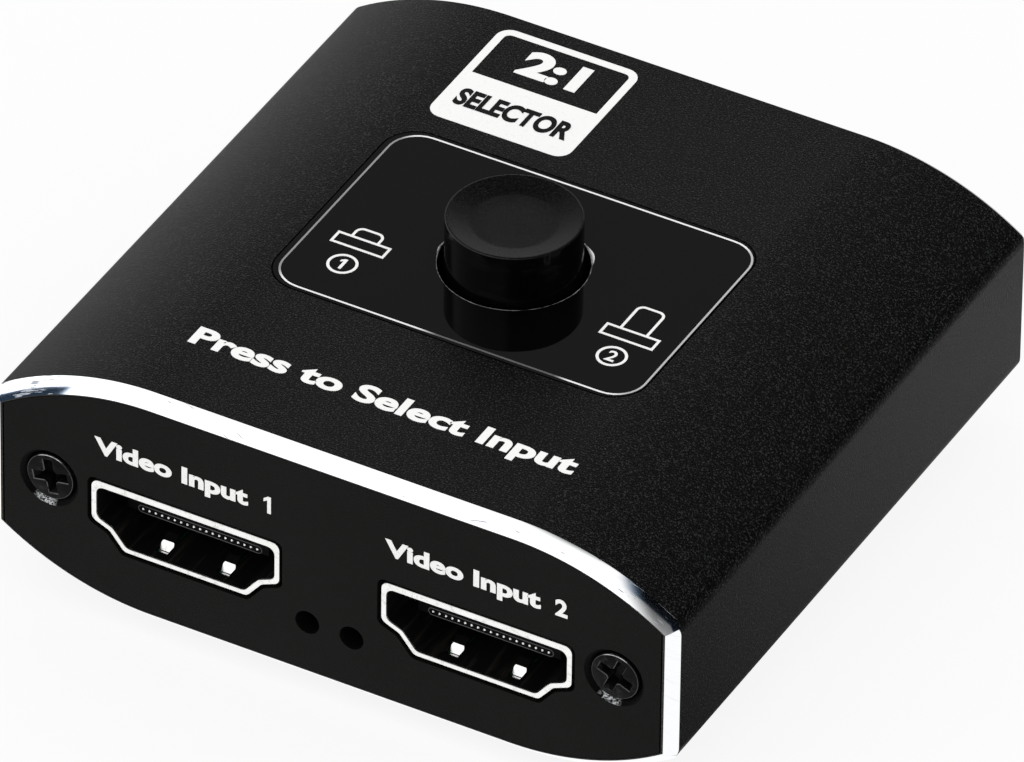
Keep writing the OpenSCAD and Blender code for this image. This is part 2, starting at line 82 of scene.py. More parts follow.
panel_low, panel_high = box_mm("control_overlay")
PANEL_PLAY = 0.12
PANEL_W = panel_high[0] - panel_low[0]
PANEL_D = panel_high[1] - panel_low[1]
PANEL_T = panel_high[2] - panel_low[2]
PANEL_R = 2.62
BORDER_INSET_X, BORDER_INSET_Y = 0.23, 0.26
BORDER_SHIFT = 0.17
BORDER_W = 0.16
BORDER_RISE = 0.01
HOLE_R = 5.45
HOLE_DEEP = 4
RING_R = 5.38
RING_W = 0.05
# Where the pale ring round the hole, a painted highlight, is drawn wider: angle, spread and reach
RING_BULGE_ANGLE, RING_BULGE_SPAN, RING_BULGE_DEPTH = math.radians(39), 0.19, 0.25
SMALL_BULGE_ANGLE, SMALL_BULGE_SPAN, SMALL_BULGE_DEPTH = 2.65, 0.1, 0.1

cap_low, cap_high = box_mm("button_cap")
CAP_R = cap_high[0]
CAP_TOP, CAP_BOTTOM = cap_high[2], cap_low[2]
CAP_EDGE = 0.14
DISH = 0.45
DISH_FLOOR_R = 0.64 * CAP_R
CAP_ROOF = 1.5
CAP_WALL = 1.0
CAP_FOOT = 0.2
STEM_SLEEVE_R = 2.9

screw_low, screw_high = box_mm("front_screws")
HEAD_R = 1.95
SCREW_X = screw_high[0] - HEAD_R
SCREW_Z = (screw_low[2] + screw_high[2]) / 2
SCREW_FACE = 0.1
SCREW_L = 8.0
SCREW_POINT = 0.5
SHANK_R = 1.0
COUNTERSINK_R = 2.35
SCREW_PLAY = 0.02
HEAD_FACE_R = 1.84
HEAD_EDGE = 0.09
CROSS_REACH = 1.38
CROSS_HALF_W = 0.35
CROSS_DEEP = 0.9
CROSS_MIDDLE = 1.24
CROSS_TAPER, MIDDLE_TAPER = 0.62, 0.6

shell_low, shell_high = box_mm("input_1_shell")
SOCKET_W = shell_high[0] - shell_low[0]
SOCKET_H = 5.55
SOCKET_L = 11.0
SOCKET_LOW, SOCKET_HIGH = -SOCKET_H / 2, SOCKET_H / 2
SOCKET_X = (shell_low[0] + shell_high[0]) / 2
SOCKET_Z = shell_high[2] - SOCKET_H / 2
MOUTH_Y = shell_low[1]
SHELL_T = 0.44
SHELL_TOP_LIP = 0.14
SOCKET_ROUND = 0.6
SOCKET_FOOT_W = SOCKET_W - 5.2
SOCKET_STEP_W = SOCKET_W - 2.86
SOCKET_STEP_RISE, SOCKET_SIDE_RISE = 1.44, 2.06
TONGUE_TIP = 1.9
TONGUE_TOP = 0.65
TONGUE_T = 1.1
TIP_ROW_X, TIP_ROW_Z = 0.13, TONGUE_TOP - 0.68
TAB_X = 2.45
TAB_T = 0.22
WINDOW_HALF_W, WINDOW_OVER = 0.55, 0.1
WINDOW_START, WINDOW_END = 0.85, 6.1
LEG_SHARES = (0.51, 0.855)
LEG_HALF_T, LEG_HALF_L, LEG_DROP, LEG_TOP = 0.25, 0.7, 1.7, -0.8
TIP_PITCH = 0.505
SOCKETS = ("input_1", "input_2", "output")

# The view: how the camera stands to the box, and the photograph's width in pixels
VIEW_YAW = math.radians(28.457)
VIEW_PITCH = math.radians(37.857)
VIEW_ROLL = math.radians(0.771)
VIEW_DISTANCE = 1234.324
VIEW_SIDE, VIEW_RISE = 0.077, 7.438
VIEW_FOCAL = 17588.65
PHOTO_W = 1024
SENSOR_W = 36

FLOOR_HALF, FLOOR_T = 1500, 20


class Shape:
    """Points in millimetres, with faces and the finish of each face."""

    def __init__(self):
        self.points = []
        self.faces = []
        self.finishes = []

    def loop(self, points):
        first = len(self.points)
        self.points.extend(points)
        return list(range(first, len(self.points)))

    def face(self, corners, finish=0):
        self.faces.append(list(corners))
        self.finishes.append(finish)

    def band(self, a, b, finish=0):
        for i in range(len(a)):
            j = (i + 1) % len(a)
            self.face((a[i], a[j], b[j], b[i]), finish)

    def skin(self, loops, finishes=None, closed=False, capped=False):
        """Bands from loop to loop; a closed skin joins the last loop to the first."""
        rows = [self.loop(points) for points in loops]
        for i in range(len(rows) if closed else len(rows) - 1):
            self.band(rows[i], rows[(i + 1) % len(rows)], finishes[i] if finishes else 0)
        if capped:
            self.face(rows[0])
            self.face(rows[-1], finishes[-1] if finishes else 0)
        return self

    def solid(self, loops, finishes=None):
        return self.skin(loops, finishes, capped=True)

    def block(self, low, high, finish=0):
        (x0, y0, z0), (x1, y1, z1) = low, high
        corners = ((x0, y0), (x1, y0), (x1, y1), (x0, y1))
        rows = [self.loop(level(corners, z)) for z in (z0, z1)]
        self.band(rows[0], rows[1], finish)
        self.face(rows[0], finish)
        self.face(rows[1], finish)

    def add(self, other, place):
        """Another shape's faces, each point moved by place."""
        first = len(self.points)
        self.points.extend(place(p) for p in other.points)
        for corners, finish in zip(other.faces, other.finishes):
            self.face([first + i for i in corners], finish)

    def mesh(self, name, smooth_angle=30):
        made = bmesh.new()
        corners = [made.verts.new([c * MM for c in p]) for p in self.points]
        for face, finish in zip(self.faces, self.finishes):
            made.faces.new([corners[i] for i in face]).material_index = finish
        bmesh.ops.remove_doubles(made, verts=made.verts, dist=1e-7)
        bmesh.ops.dissolve_degenerate(made, edges=made.edges, dist=1e-8)
        bmesh.ops.recalc_face_normals(made, faces=made.faces)
        mesh = bpy.data.meshes.new(name)
        made.to_mesh(mesh)
        made.free()
        return shade(mesh, smooth_angle)


def shade(mesh, smooth_angle=30):
    mesh.shade_smooth()
    mesh.set_sharp_from_angle(angle=math.radians(smooth_angle))
    return mesh


def put(name, mesh):
    obj = bpy.data.objects.new(name, mesh)
    bpy.context.scene.collection.objects.link(obj)
    return obj


def plain_mesh(obj):
    """An object's mesh as it shows, with its modifiers or its curve worked in."""
    bpy.context.view_layer.update()
    seen = obj.evaluated_get(bpy.context.evaluated_depsgraph_get())
    return bpy.data.meshes.new_from_object(seen)


def settle(obj):
    """Turns an object's live modifiers into its plain mesh."""
    mesh = plain_mesh(obj)
    obj.modifiers.clear()
    obj.data = mesh
    return obj


def wear(mesh, *finishes):
    for finish in finishes:
        mesh.materials.append(finish)
    return mesh


def dress(obj, finishes, body, slot, *replaced):
    """Makes an object a visible piece that moves with a body; what it wears already stays."""
    if not obj.data.materials:
        wear(obj.data, *finishes)
    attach(obj, body)
    if replaced:
        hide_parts(*replaced)
    return obj


def piece(name, mesh, finishes, body, slot, *replaced):
    return dress(put(name, mesh), finishes, body, slot, *replaced)


def carve(obj, shape):
    """Cuts a shape out of an object's mesh."""
    cutter = put("cutter", shape.mesh("cutter"))
    cut = obj.modifiers.new("cut", "BOOLEAN")
    cut.operation = "DIFFERENCE"
    cut.solver = "EXACT"
    cut.object = cutter
    settle(obj)
    bpy.data.objects.remove(cutter)
    shade(obj.data)
    return obj


def spread(first, last, steps):
    return [first + (last - first) * i / steps for i in range(steps + 1)]


def full_turn(steps):
    return spread(0, 2 * math.pi, steps)[:-1]


# Flat outlines, counter-clockwise
def ring_path(middle, radius, steps=40):
    x, y = middle
    return [(x + radius * math.cos(a), y + radius * math.sin(a)) for a in full_turn(steps)]


def oblong_path(middle, width, height):
    x, y = middle
    low_x, high_x = x - width / 2, x + width / 2
    low_y, high_y = y - height / 2, y + height / 2
    return [(low_x, low_y), (high_x, low_y), (high_x, high_y), (low_x, high_y)]


def round_rect(width, depth, radius, steps=10):
    points = []
    for i, (sx, sy) in enumerate(((1, 1), (-1, 1), (-1, -1), (1, -1))):
        cx, cy = sx * (width / 2 - radius), sy * (depth / 2 - radius)
        for a in spread(i * math.pi / 2, (i + 1) * math.pi / 2, steps):
            points.append((cx + radius * math.cos(a), cy + radius * math.sin(a)))
    return points


def mitres(points, reach, closed=True):
    """The steps from a path's points to a line on its left at that reach, corners mitred."""
    steps = []
    for i, here in enumerate(points):
        before = points[i - 1] if closed or i else None
        after = points[(i + 1) % len(points)] if closed or i < len(points) - 1 else None
        a = (here - before).normalized() if before else (after - here).normalized()
        b = (after - here).normalized() if after else a
        left_a, left_b = Vector((-a.y, a.x)), Vector((-b.y, b.x))
        steps.append((left_a + left_b) * (reach / (1 + left_a.dot(left_b))))
    return steps


def level(outline, z):
    return [(x, y, z) for x, y in outline]


def turned(profile, steps=96):
    """Rings of a lathe profile of (radius, height) about the upright axis."""
    return [level(ring_path((0, 0), r, steps), z) for r, z in profile]


# Shader nodes
class Nodes:
    """A node tree with short ways to add to it. A node takes numbers, colours and sockets."""

    def __init__(self, tree):
        self.tree = tree

    def feed(self, target, source):
        if isinstance(source, bpy.types.NodeSocket):
            self.tree.links.new(source, target)
        else:
            target.default_value = (*source, 1) if target.type == "RGBA" else source

    def node(self, kind, *values, operation=None, **named):
        """A new node, its inputs fed in their order or by name."""
        made = self.tree.nodes.new(kind)
        if operation:
            made.operation = operation
        for target, source in zip(made.inputs, values):
            self.feed(target, source)
        for label, source in named.items():
            self.feed(made.inputs[label.replace("_", " ")], source)
        return made

    def maths(self, operation, *values):
        return self.node("ShaderNodeMath", *values, operation=operation).outputs[0]

    def product(self, first, *others):
        for other in others:
            first = self.maths("MULTIPLY", first, other)
        return first

    def vector_maths(self, operation, *values):
        return self.node("ShaderNodeVectorMath", *values, operation=operation).outputs

    def split(self, vector):
        return self.node("ShaderNodeSeparateXYZ", vector).outputs

    def combined(self, *values):
        return self.node("ShaderNodeCombineXYZ", *values).outputs[0]

    def noise(self, vector, scale, detail, roughness):
        looks = {"Scale": scale, "Detail": detail, "Roughness": roughness}
        return self.node("ShaderNodeTexNoise", Vector=vector, **looks).outputs["Fac"]

    def ranged(self, value, low, high, to_low=0.0, to_high=1.0, smooth=False):
        limits = {"From_Min": low, "From_Max": high, "To_Min": to_low, "To_Max": to_high}
        made = self.node("ShaderNodeMapRange", Value=value, **limits)
        made.interpolation_type = "SMOOTHSTEP" if smooth else "LINEAR"
        return made.outputs["Result"]

    def ranged_mm(self, value, low, high, *ends, smooth=False):
        return self.ranged(value, low * MM, high * MM, *ends, smooth=smooth)

    def mixed(self, mask, first, second):
        """The first number where mask is 0, the second where it is 1."""
        return self.node("ShaderNodeMix", Factor=mask, A=first, B=second).outputs["Result"]

    def blended(self, mask, first, second):
        """The first colour where mask is 0, the second where it is 1."""
        made = self.tree.nodes.new("ShaderNodeMix")
        made.data_type = "RGBA"
        for place, source in ((0, mask), (6, first), (7, second)):
            self.feed(made.inputs[place], source)
        return made.outputs[2]


# Node groups that more than one finish uses
def node_group(name, inputs, outputs):
    """A group fed by a vector and named values: its nodes, its inputs and its outputs."""
    group = bpy.data.node_groups.new(name, "ShaderNodeTree")
    face = group.interface
    face.new_socket("Vector", in_out="INPUT", socket_type="NodeSocketVector")
    for label, value in inputs.items():
        kind = "NodeSocketVector" if isinstance(value, tuple) else "NodeSocketFloat"
        face.new_socket(label, in_out="INPUT", socket_type=kind).default_value = value
    for label in outputs:
        face.new_socket(label, in_out="OUTPUT", socket_type="NodeSocketFloat")
    made = Nodes(group)
    return made, made.node("NodeGroupInput").outputs, made.node("NodeGroupOutput").inputs


def blasted_grain():
    """The fine pits of a blasted or moulded skin: a height, pale specks and a slow shade."""
    scales = {"Grain": 7000.0, "Patches": 60.0}
    made, given, wanted = node_group("blasted_grain", scales, ("Height", "Speckle", "Patch"))
    fine = made.noise(given["Vector"], given["Grain"], 3.0, 0.6)
    slow = made.noise(given["Vector"], given["Patches"], 3.0, 0.55)
    made.feed(wanted["Height"], fine)
    made.feed(wanted["Speckle"], made.ranged(fine, 0.56, 0.74))
    made.feed(wanted["Patch"], made.ranged(slow, 0.3, 0.7))
    return made.tree


def hairlines():
    """Fine scratches along one axis, broken up over their length."""
    scales = {"Along": (1, 1, 1), "Scale": 3000.0}
    made, given, wanted = node_group("hairlines", scales, ("Height", "Mask"))
    stretched = made.vector_maths("MULTIPLY", given["Vector"], given["Along"])["Vector"]
    lines = made.noise(stretched, given["Scale"], 2.0, 0.7)
    made.feed(wanted["Height"], lines)
    made.feed(wanted["Mask"], made.ranged(lines, 0.55, 0.7))
    return made.tree


def settled_dust():
    """Small pale specks, a few on each square centimetre."""
    scales = {"Spacing": 500.0, "Size": 0.05}
    made, given, wanted = node_group("settled_dust", scales, ("Mask",))
    cells = made.node("ShaderNodeTexVoronoi", Vector=given["Vector"], Scale=given["Spacing"])
    cells = cells.outputs
    inside = made.maths("LESS_THAN", cells["Distance"], given["Size"])
    chosen = made.node("ShaderNodeSeparateColor", cells["Color"]).outputs
    rare = made.maths("GREATER_THAN", chosen[0], 0.72)
    made.feed(wanted["Mask"], made.product(inside, rare))
    return made.tree


GRAIN, SCRATCHES, DUST = blasted_grain(), hairlines(), settled_dust()


# Finishes
class Finish(Nodes):
    """A material in the making: one Principled shader and what feeds it."""

    def __init__(self, name, **sockets):
        self.material = bpy.data.materials.new(name)
        self.material.use_nodes = True
        super().__init__(self.material.node_tree)
        self.shader = self.tree.nodes["Principled BSDF"]
        self.place = self.node("ShaderNodeTexCoord").outputs["Object"]
        for label, value in sockets.items():
            self.give(label.replace("_", " "), value)

    def give(self, label, source):
        self.feed(self.shader.inputs[label], source)

    def use(self, group, vector=None, **values):
        made = self.tree.nodes.new("ShaderNodeGroup")
        made.node_tree = group
        self.feed(made.inputs["Vector"], vector or self.place)
        for label, value in values.items():
            self.feed(made.inputs[label], value)
        return made.outputs

    def axes(self):
        return self.split(self.place)

    def polar(self, across, upward, along, radius):
        """Distance from an axis, and a vector of way round, distance and way along."""
        squares = [self.maths("MULTIPLY", c, c) for c in (across, upward)]
        reach = self.maths("SQRT", self.maths("ADD", *squares))
        turn = self.maths("ARCTAN2", upward, across)
        return reach, self.combined(self.maths("MULTIPLY", turn, radius * MM), reach, along)

    def colour(self, mask, first, second):
        self.give("Base Color", self.blended(mask, first, second))

    def done(self, height, depth, mask=None, *rough):
        """The material with its bump and, by a mask, its two roughnesses."""
        if mask:
            self.give("Roughness", self.ranged(mask, 0, 1, *rough))
        bump = self.node("ShaderNodeBump", Strength=1.0, Distance=depth, Height=height)
        self.give("Normal", bump.outputs["Normal"])
        return self.material


def grey(level):
    return level, level, level


def speckled_finish(name, shine, scales, dark, pale, rough, depth):
    """A blasted black skin with small pale metal specks."""
    made = Finish(name, Specular_IOR_Level=shine)
    grain = made.use(GRAIN, **scales)
    made.colour(grain["Speckle"], dark, pale)
    made.give("Metallic", grain["Speckle"])
    return made.done(grain["Height"], depth, grain["Patch"], *rough)


def scratched_finish(name, along, scale, plain, marked, rough, depth, **sockets):
    """One tone, with lines of another tone and roughness along an axis."""
    made = Finish(name, **sockets)
    lines = made.use(SCRATCHES, Along=along, Scale=scale)
    made.colour(lines["Mask"], plain, marked)
    return made.done(lines["Height"], depth, lines["Mask"], *rough)


def metal_finish(name, dark, pale, rough):
    ends = (rough, rough + 0.12)
    return scratched_finish(name, (1.0, 0.15, 1.0), 2400.0, pale, dark, ends, 2e-6, Metallic=1.0)


def toned_finish(name, mask, first, second, scales, depth, **sockets):
    """Two tones that a mask of the grain tells apart."""
    made = Finish(name, **sockets)
    grain = made.use(GRAIN, **scales)
    made.colour(grain[mask], first, second)
    return made.done(grain["Height"], depth)


def ink_finish(name, colour, thin):
    """Printed ink, a little thinner in small spots."""
    scales = {"Grain": 5200.0, "Patches": 400.0}
    looks = {"Roughness": 0.55, "Specular_IOR_Level": 0.2}
    return toned_finish(name, "Speckle", colour, thin, scales, 4e-6, **looks)


def moulded_finish(name, dark, pale, rough, shine=0.4):
    """Moulded plastic or rubber with a little dust on it."""
    made = Finish(name, Specular_IOR_Level=shine)
    grain = made.use(GRAIN, Grain=6000.0, Patches=250.0)
    specks = made.use(DUST, Spacing=900.0, Size=0.05)
    skin = made.blended(grain["Patch"], dark, pale)
    made.colour(specks["Mask"], skin, tuple(min(1.0, c * 1.6 + 0.01) for c in pale))
    return made.done(grain["Height"], 1e-5, grain["Patch"], rough - 0.06, rough + 0.06)


def bright_cut_finish():
    """Bright turned metal; where the cut follows the shoulders down it has scuffs, is rougher, and
    takes a darker bluish colour that is partly a painted reflection of dark surroundings.
    """
    made = Finish("bright_cut_bevel", Metallic=1.0)
    x, y, z = made.axes()
    out = made.maths("SUBTRACT", made.maths("ABSOLUTE", x), ARC_X * MM)
    up = made.maths("SUBTRACT", z, (BASE + ARC_Z) * MM)
    reach, way_round = made.polar(out, up, x, SHOULDER_R)
    lines = made.use(SCRATCHES, way_round, Along=(0.03, 1.0, 0.03), Scale=6000.0)
    scuff_and_reflection_lines = made.use(SCRATCHES, way_round, Along=(0.06, 1.0, 0.06), Scale=5000.0)
    ends = made.ranged_mm(out, 4, 9.5, 0.0, 0.1)
    rubbed_with_painted_light = made.ranged(made.maths("ADD", scuff_and_reflection_lines["Height"], ends), 0.69, 0.74, smooth=True)
    corner_z = TOP - SHOULDER_DROP
    scuffs_and_painted_reflection = made.product(rubbed_with_painted_light, made.ranged_mm(z, corner_z, corner_z + 0.3))
    bright = made.blended(lines["Mask"], (0.93, 0.94, 0.95), (0.86, 0.88, 0.9))
    # painted reflection: the bluish grey stands for dark surroundings seen in the cut, together
    # with the scuffs
    made.colour(scuffs_and_painted_reflection, bright, (0.56, 0.59, 0.65))
    return made.done(lines["Height"], 1e-6, scuffs_and_painted_reflection, 0.07, 0.55)


def end_plate_finish():
    """Satin black; the screw countersinks are coloured near black as painted shade, with bare
    scratched metal low in them.
    """
    made = Finish("black_end_plate", Specular_IOR_Level=0.07)
    grain = made.use(GRAIN, Grain=8000.0, Patches=50.0)
    x, y, z = made.axes()
    side = made.maths("MULTIPLY", made.maths("SIGN", x), SCREW_X * MM)
    across = made.maths("SUBTRACT", x, side)
    upward = made.maths("SUBTRACT", z, SCREW_Z * MM)
    reach, way_round = made.polar(across, upward, side, COUNTERSINK_R)
    countersink_painted_shade = made.maths("LESS_THAN", reach, (COUNTERSINK_R - SCREW_PLAY) * MM)
    lean = made.maths("ADD", upward, made.maths("MULTIPLY", across, 0.18))
    below = made.ranged(made.maths("DIVIDE", lean, reach), -0.91, -1.0, smooth=True)
    lines = made.use(SCRATCHES, way_round, Along=(0.45, 1.0, 1.0), Scale=11000.0)
    bare = made.product(countersink_painted_shade, below, made.ranged(lines["Height"], 0.44, 0.62))
    skin = made.blended(grain["Speckle"], (0.0035, 0.0039, 0.0031), (0.011, 0.012, 0.0096))
    # painted shade: the countersink's cone is coloured near black
    made.colour(bare, made.blended(countersink_painted_shade, skin, grey(0.0006)), (0.8, 0.82, 0.83))
    made.give("Metallic", bare)
    return made.done(grain["Height"], 5e-5, grain["Patch"], 0.5, 0.6)


def gloss_panel_finish():
    made = Finish("gloss_panel", Roughness=0.025, Specular_IOR_Level=0.9)
    grain = made.use(GRAIN, Grain=900.0, Patches=70.0)
    specks = made.use(DUST, Spacing=420.0, Size=0.04)
    deep = made.blended(grain["Patch"], (0.0012, 0.0014, 0.0012), (0.0018, 0.002, 0.0018))
    made.colour(specks["Mask"], deep, grey(0.02))
    return made.done(grain["Height"], 6e-7)


def painted_edge_highlight_finish():
    """The panel's pale line, a painted highlight of its edge, dimmed by painted shade at its sides
    and in the button's shade; and the ring at the hole's edge, a dimmer, broken painted highlight.
    """
    made = Finish("panel_cut_edge", Roughness=0.4)
    lines = made.use(SCRATCHES, Along=(1.0, 1.0, 1.0), Scale=1500.0)
    x, y, z = made.axes()
    half_w, half_d = PANEL_W / 2, PANEL_D / 2
    # painted shade: the line is dimmer at its left and right sides
    left = made.ranged_mm(x, 1.5 - half_w, 0.8 - half_w, 1.0, 0.32)
    right = made.ranged_mm(x, half_w - 1.5, half_w - 0.8, 1.0, 0.55)
    # painted shade: the front of the line is dark beside the button
    painted_front_shade = made.product(
        made.ranged_mm(y, 1.2 - half_d, 0.8 - half_d),
        made.ranged_mm(x, -2.5, -0.5, smooth=True),
        made.ranged_mm(x, 9.8, 8.5, smooth=True),
    )
    tone = made.product(left, right, made.ranged(painted_front_shade, 0, 1, 1.0, 0.13))
    # the hole's ring: a dim, broken painted highlight
    reach = made.vector_maths("LENGTH", made.combined(x, y))["Value"]
    hole = made.ranged_mm(reach, 5.6, HOLE_R)
    broken = made.ranged(lines["Height"], 0.35, 0.65, 0.04, 0.36)
    made.colour(made.mixed(hole, tone, broken), grey(0.0), grey(0.97))
    return made.done(lines["Height"], 1e-5)


def plated_finish():
    made = Finish("plated_steel", Metallic=1.0)
    lines = made.use(SCRATCHES, Along=(1.0, 0.2, 1.0), Scale=2600.0)
    grain = made.use(GRAIN, Grain=5000.0, Patches=300.0)
    worn = made.blended(grain["Patch"], (0.86, 0.86, 0.84), (0.94, 0.94, 0.93))
    made.colour(lines["Mask"], worn, (0.7, 0.7, 0.68))
    return made.done(lines["Height"], 2e-6, grain["Patch"], 0.2, 0.32)


def screw_finish():
    """Blackened steel, worn bare at the edges of the head and its cross; only on top of the rim is
    the bare edge near white, a painted highlight.
    """
    made = Finish("black_screw", Specular_IOR_Level=0.05)
    grain = made.use(GRAIN, Grain=5000.0, Patches=900.0)
    lines = made.use(SCRATCHES, Along=(1.0, 1.0, 1.0), Scale=1800.0)
    x, y, z = made.axes()
    depth = made.maths("SUBTRACT", REAR * MM, made.maths("ABSOLUTE", y))

    def passed(first, last):
        """Turns from 0 to 1 between two shares of the head's edge."""
        return made.ranged_mm(depth, *(SCREW_FACE + s * HEAD_EDGE for s in (first, last)))

    edge = made.product(passed(0.1, 0.2), passed(1.0, 0.9))
    made.give("Metallic", made.maths("MULTIPLY", edge, 0.9))
    above = made.maths("SUBTRACT", z, SCREW_Z * MM)
    # painted highlight: the bare edge is near white only at the top of the head
    crest = made.ranged_mm(above, 0.8 * HEAD_FACE_R, 0.93 * HEAD_FACE_R, smooth=True)
    skin = made.blended(grain["Patch"], grey(0.002), grey(0.005))
    rubbed_with_painted_light = made.blended(crest, grey(0.09), grey(0.95))
    made.colour(lines["Mask"], made.blended(edge, skin, rubbed_with_painted_light), grey(0.015))
    return made.done(grain["Height"], 1e-5, grain["Patch"], 0.26, 0.36)


def circuit_board_finish():
    """Green mask with the pale rows of solder and faint traces under it."""
    made = Finish("green_board", Roughness=0.35)
    greens = {"Color1": (0.012, 0.12, 0.05), "Color2": (0.016, 0.15, 0.06)}
    pale = (0.02, 0.2, 0.085)
    traces = made.node("ShaderNodeTexBrick", Vector=made.place, Scale=180.0, Mortar=pale, **greens)
    specks = made.use(DUST, Spacing=350.0, Size=0.12)
    made.colour(specks["Mask"], traces.outputs["Color"], (0.75, 0.72, 0.6))
    grain = made.use(GRAIN, Grain=3000.0, Patches=120.0)
    return made.done(grain["Height"], 4e-6)


SLEEVE_BLACK = speckled_finish(
    "black_sleeve",
    shine=0.26,
    scales={"Grain": 7000.0, "Patches": 45.0},
    dark=(0.0012, 0.0017, 0.0012),
    pale=(0.11, 0.12, 0.11),
    rough=(0.27, 0.33),
    depth=5e-5,
)
BUTTON_BLACK = speckled_finish(
    "button_black",
    shine=0.36,
    scales={"Grain": 15000.0, "Patches": 200.0},
    dark=(0.0018, 0.0022, 0.0018),
    pale=(0.085, 0.09, 0.082),
    rough=(0.24, 0.28),
    depth=2e-5,
)
BUTTON_SIDE = scratched_finish(
    "button_side",
    along=(0.4, 0.4, 1.0),
    scale=900.0,
    plain=(0.0012, 0.0013, 0.0013),
    marked=grey(0.003),
    rough=(0.14, 0.24),
    depth=1e-6,
    Specular_IOR_Level=0.12,
)
# Inner walls of a socket, coloured near black as painted shade, with faint lines worn by plugs
SHELL_INSIDE_PAINTED_SHADE = scratched_finish(
    "shell_inside",
    along=(1.0, 0.08, 1.0),
    scale=1800.0,
    plain=grey(0.0035),
    marked=(0.02, 0.018, 0.015),
    rough=(0.6, 0.45),
    depth=4e-6,
    Metallic=0.2,
    Specular_IOR_Level=0.15,
)
LAMP_SMOKED = toned_finish(
    "smoked_lamp",
    mask="Patch",
    first=(0.004, 0.0045, 0.004),
    second=(0.009, 0.01, 0.009),
    scales={"Grain": 2500.0, "Patches": 500.0},
    depth=3e-6,
    Roughness=0.12,
    Specular_IOR_Level=0.3,
)
BRIGHT_CUT = bright_cut_finish()
PLATE_BLACK = end_plate_finish()
GLOSS_PANEL = gloss_panel_finish()
PANEL_EDGE_PAINTED_HIGHLIGHT = painted_edge_highlight_finish()
PLATED = plated_finish()
SCREW_BLACK = screw_finish()
BOARD_GREEN = circuit_board_finish()
CONTACT_GOLD = metal_finish("gold_contact", (0.6, 0.42, 0.16), (0.95, 0.78, 0.42), 0.22)
CONTACT_TIP = metal_finish("contact_tip", (0.75, 0.74, 0.7), (0.97, 0.96, 0.93), 0.3)
SPRING_STEEL = metal_finish("spring_steel", (0.35, 0.35, 0.36), (0.62, 0.62, 0.63), 0.25)
SOCKET_BLACK = moulded_finish("socket_black", grey(0.002), grey(0.004), 0.5, shine=0.04)
SWITCH_BLACK = moulded_finish("switch_black", (0.015, 0.015, 0.016), grey(0.028), 0.45)
SLIDER_WHITE = moulded_finish("slider_white", (0.72, 0.72, 0.69), (0.82, 0.82, 0.79), 0.45)
CHIP_BLACK = moulded_finish("chip_black", grey(0.018), grey(0.03), 0.55)
CHIP_TAN = moulded_finish("chip_tan", (0.38, 0.27, 0.17), (0.52, 0.4, 0.27), 0.5)
FOOT_RUBBER = moulded_finish("foot_rubber", grey(0.012), (0.024, 0.024, 0.023), 0.75)
# painted highlight: grey lines standing for lit edges of the tongues
TONGUE_PAINTED_HIGHLIGHT = moulded_finish("tongue_edge", grey(0.05), grey(0.1), 0.45)
INK_WHITE = ink_finish("white_ink", (0.98, 0.98, 0.97), (0.88, 0.88, 0.87))
INK_BLACK = ink_finish("black_ink", grey(0.008), grey(0.02))


# Sleeve
def section_quarter(inset, side_inset, filleted):
    """The section from the top's middle to the right side's middle, drawn in by the insets."""
    arc_r = SHOULDER_R - inset
    side = HALF_W - side_inset
    if filleted:
        fx = HALF_W - RIDGE_R
        fz = ARC_Z + math.sqrt((SHOULDER_R - RIDGE_R) ** 2 - (fx - ARC_X) ** 2)
        last = math.atan2(fz - ARC_Z, fx - ARC_X)
        turns = spread(last, 0, 16)
        ridge = [(fx + RIDGE_R * math.cos(a), fz + RIDGE_R * math.sin(a)) for a in turns]
    else:
        last = math.acos((side - ARC_X) / arc_r)
        ridge = [(side, ARC_Z + arc_r * math.sin(last))] * 17
    flat = [(x, SLEEVE_H - inset) for x in spread(0, ARC_X, 8)[:-1]]
    angles = spread(math.pi / 2, last, 40)
    shoulder = [(ARC_X + arc_r * math.cos(a), ARC_Z + arc_r * math.sin(a)) for a in angles]
    return flat + shoulder + ridge[1:] + [(side, SLEEVE_H / 2)]


def section_loop(inset, side_inset, filleted=False):
    upper = section_quarter(inset, side_inset, filleted)
    right = upper + [(x, SLEEVE_H - z) for x, z in reversed(upper[:-1])]
    return right + [(-x, z) for x, z in reversed(right[1:-1])]


def bevel_setback(x, z):
    """How far the bevel has taken the end back at a point of the section."""
    x = abs(x)
    z = max(z, SLEEVE_H - z)
    depth = SHOULDER_R - math.hypot(x - ARC_X, z - ARC_Z) if x > ARC_X else SLEEVE_H - z
    return max(0, BEVEL - depth, BEVEL_SIDE - (HALF_W - x))


def bevel_middle(outer, inner, end, inward):
    """The line half way down the bevel, a little proud so that the cut is not quite flat."""
    points = []
    for (x, z), (ix, iz) in zip(outer, inner):
        back = bevel_setback(x, z)
        out = Vector((x - ix, z - iz))
        out = out.normalized() * (BEVEL_CROWN if back else 0)
        y = end + inward * (back / 2 - out.length)
        points.append(((x + ix) / 2 + out.x, y, BASE + ((z + iz) / 2 + out.y)))
    return points


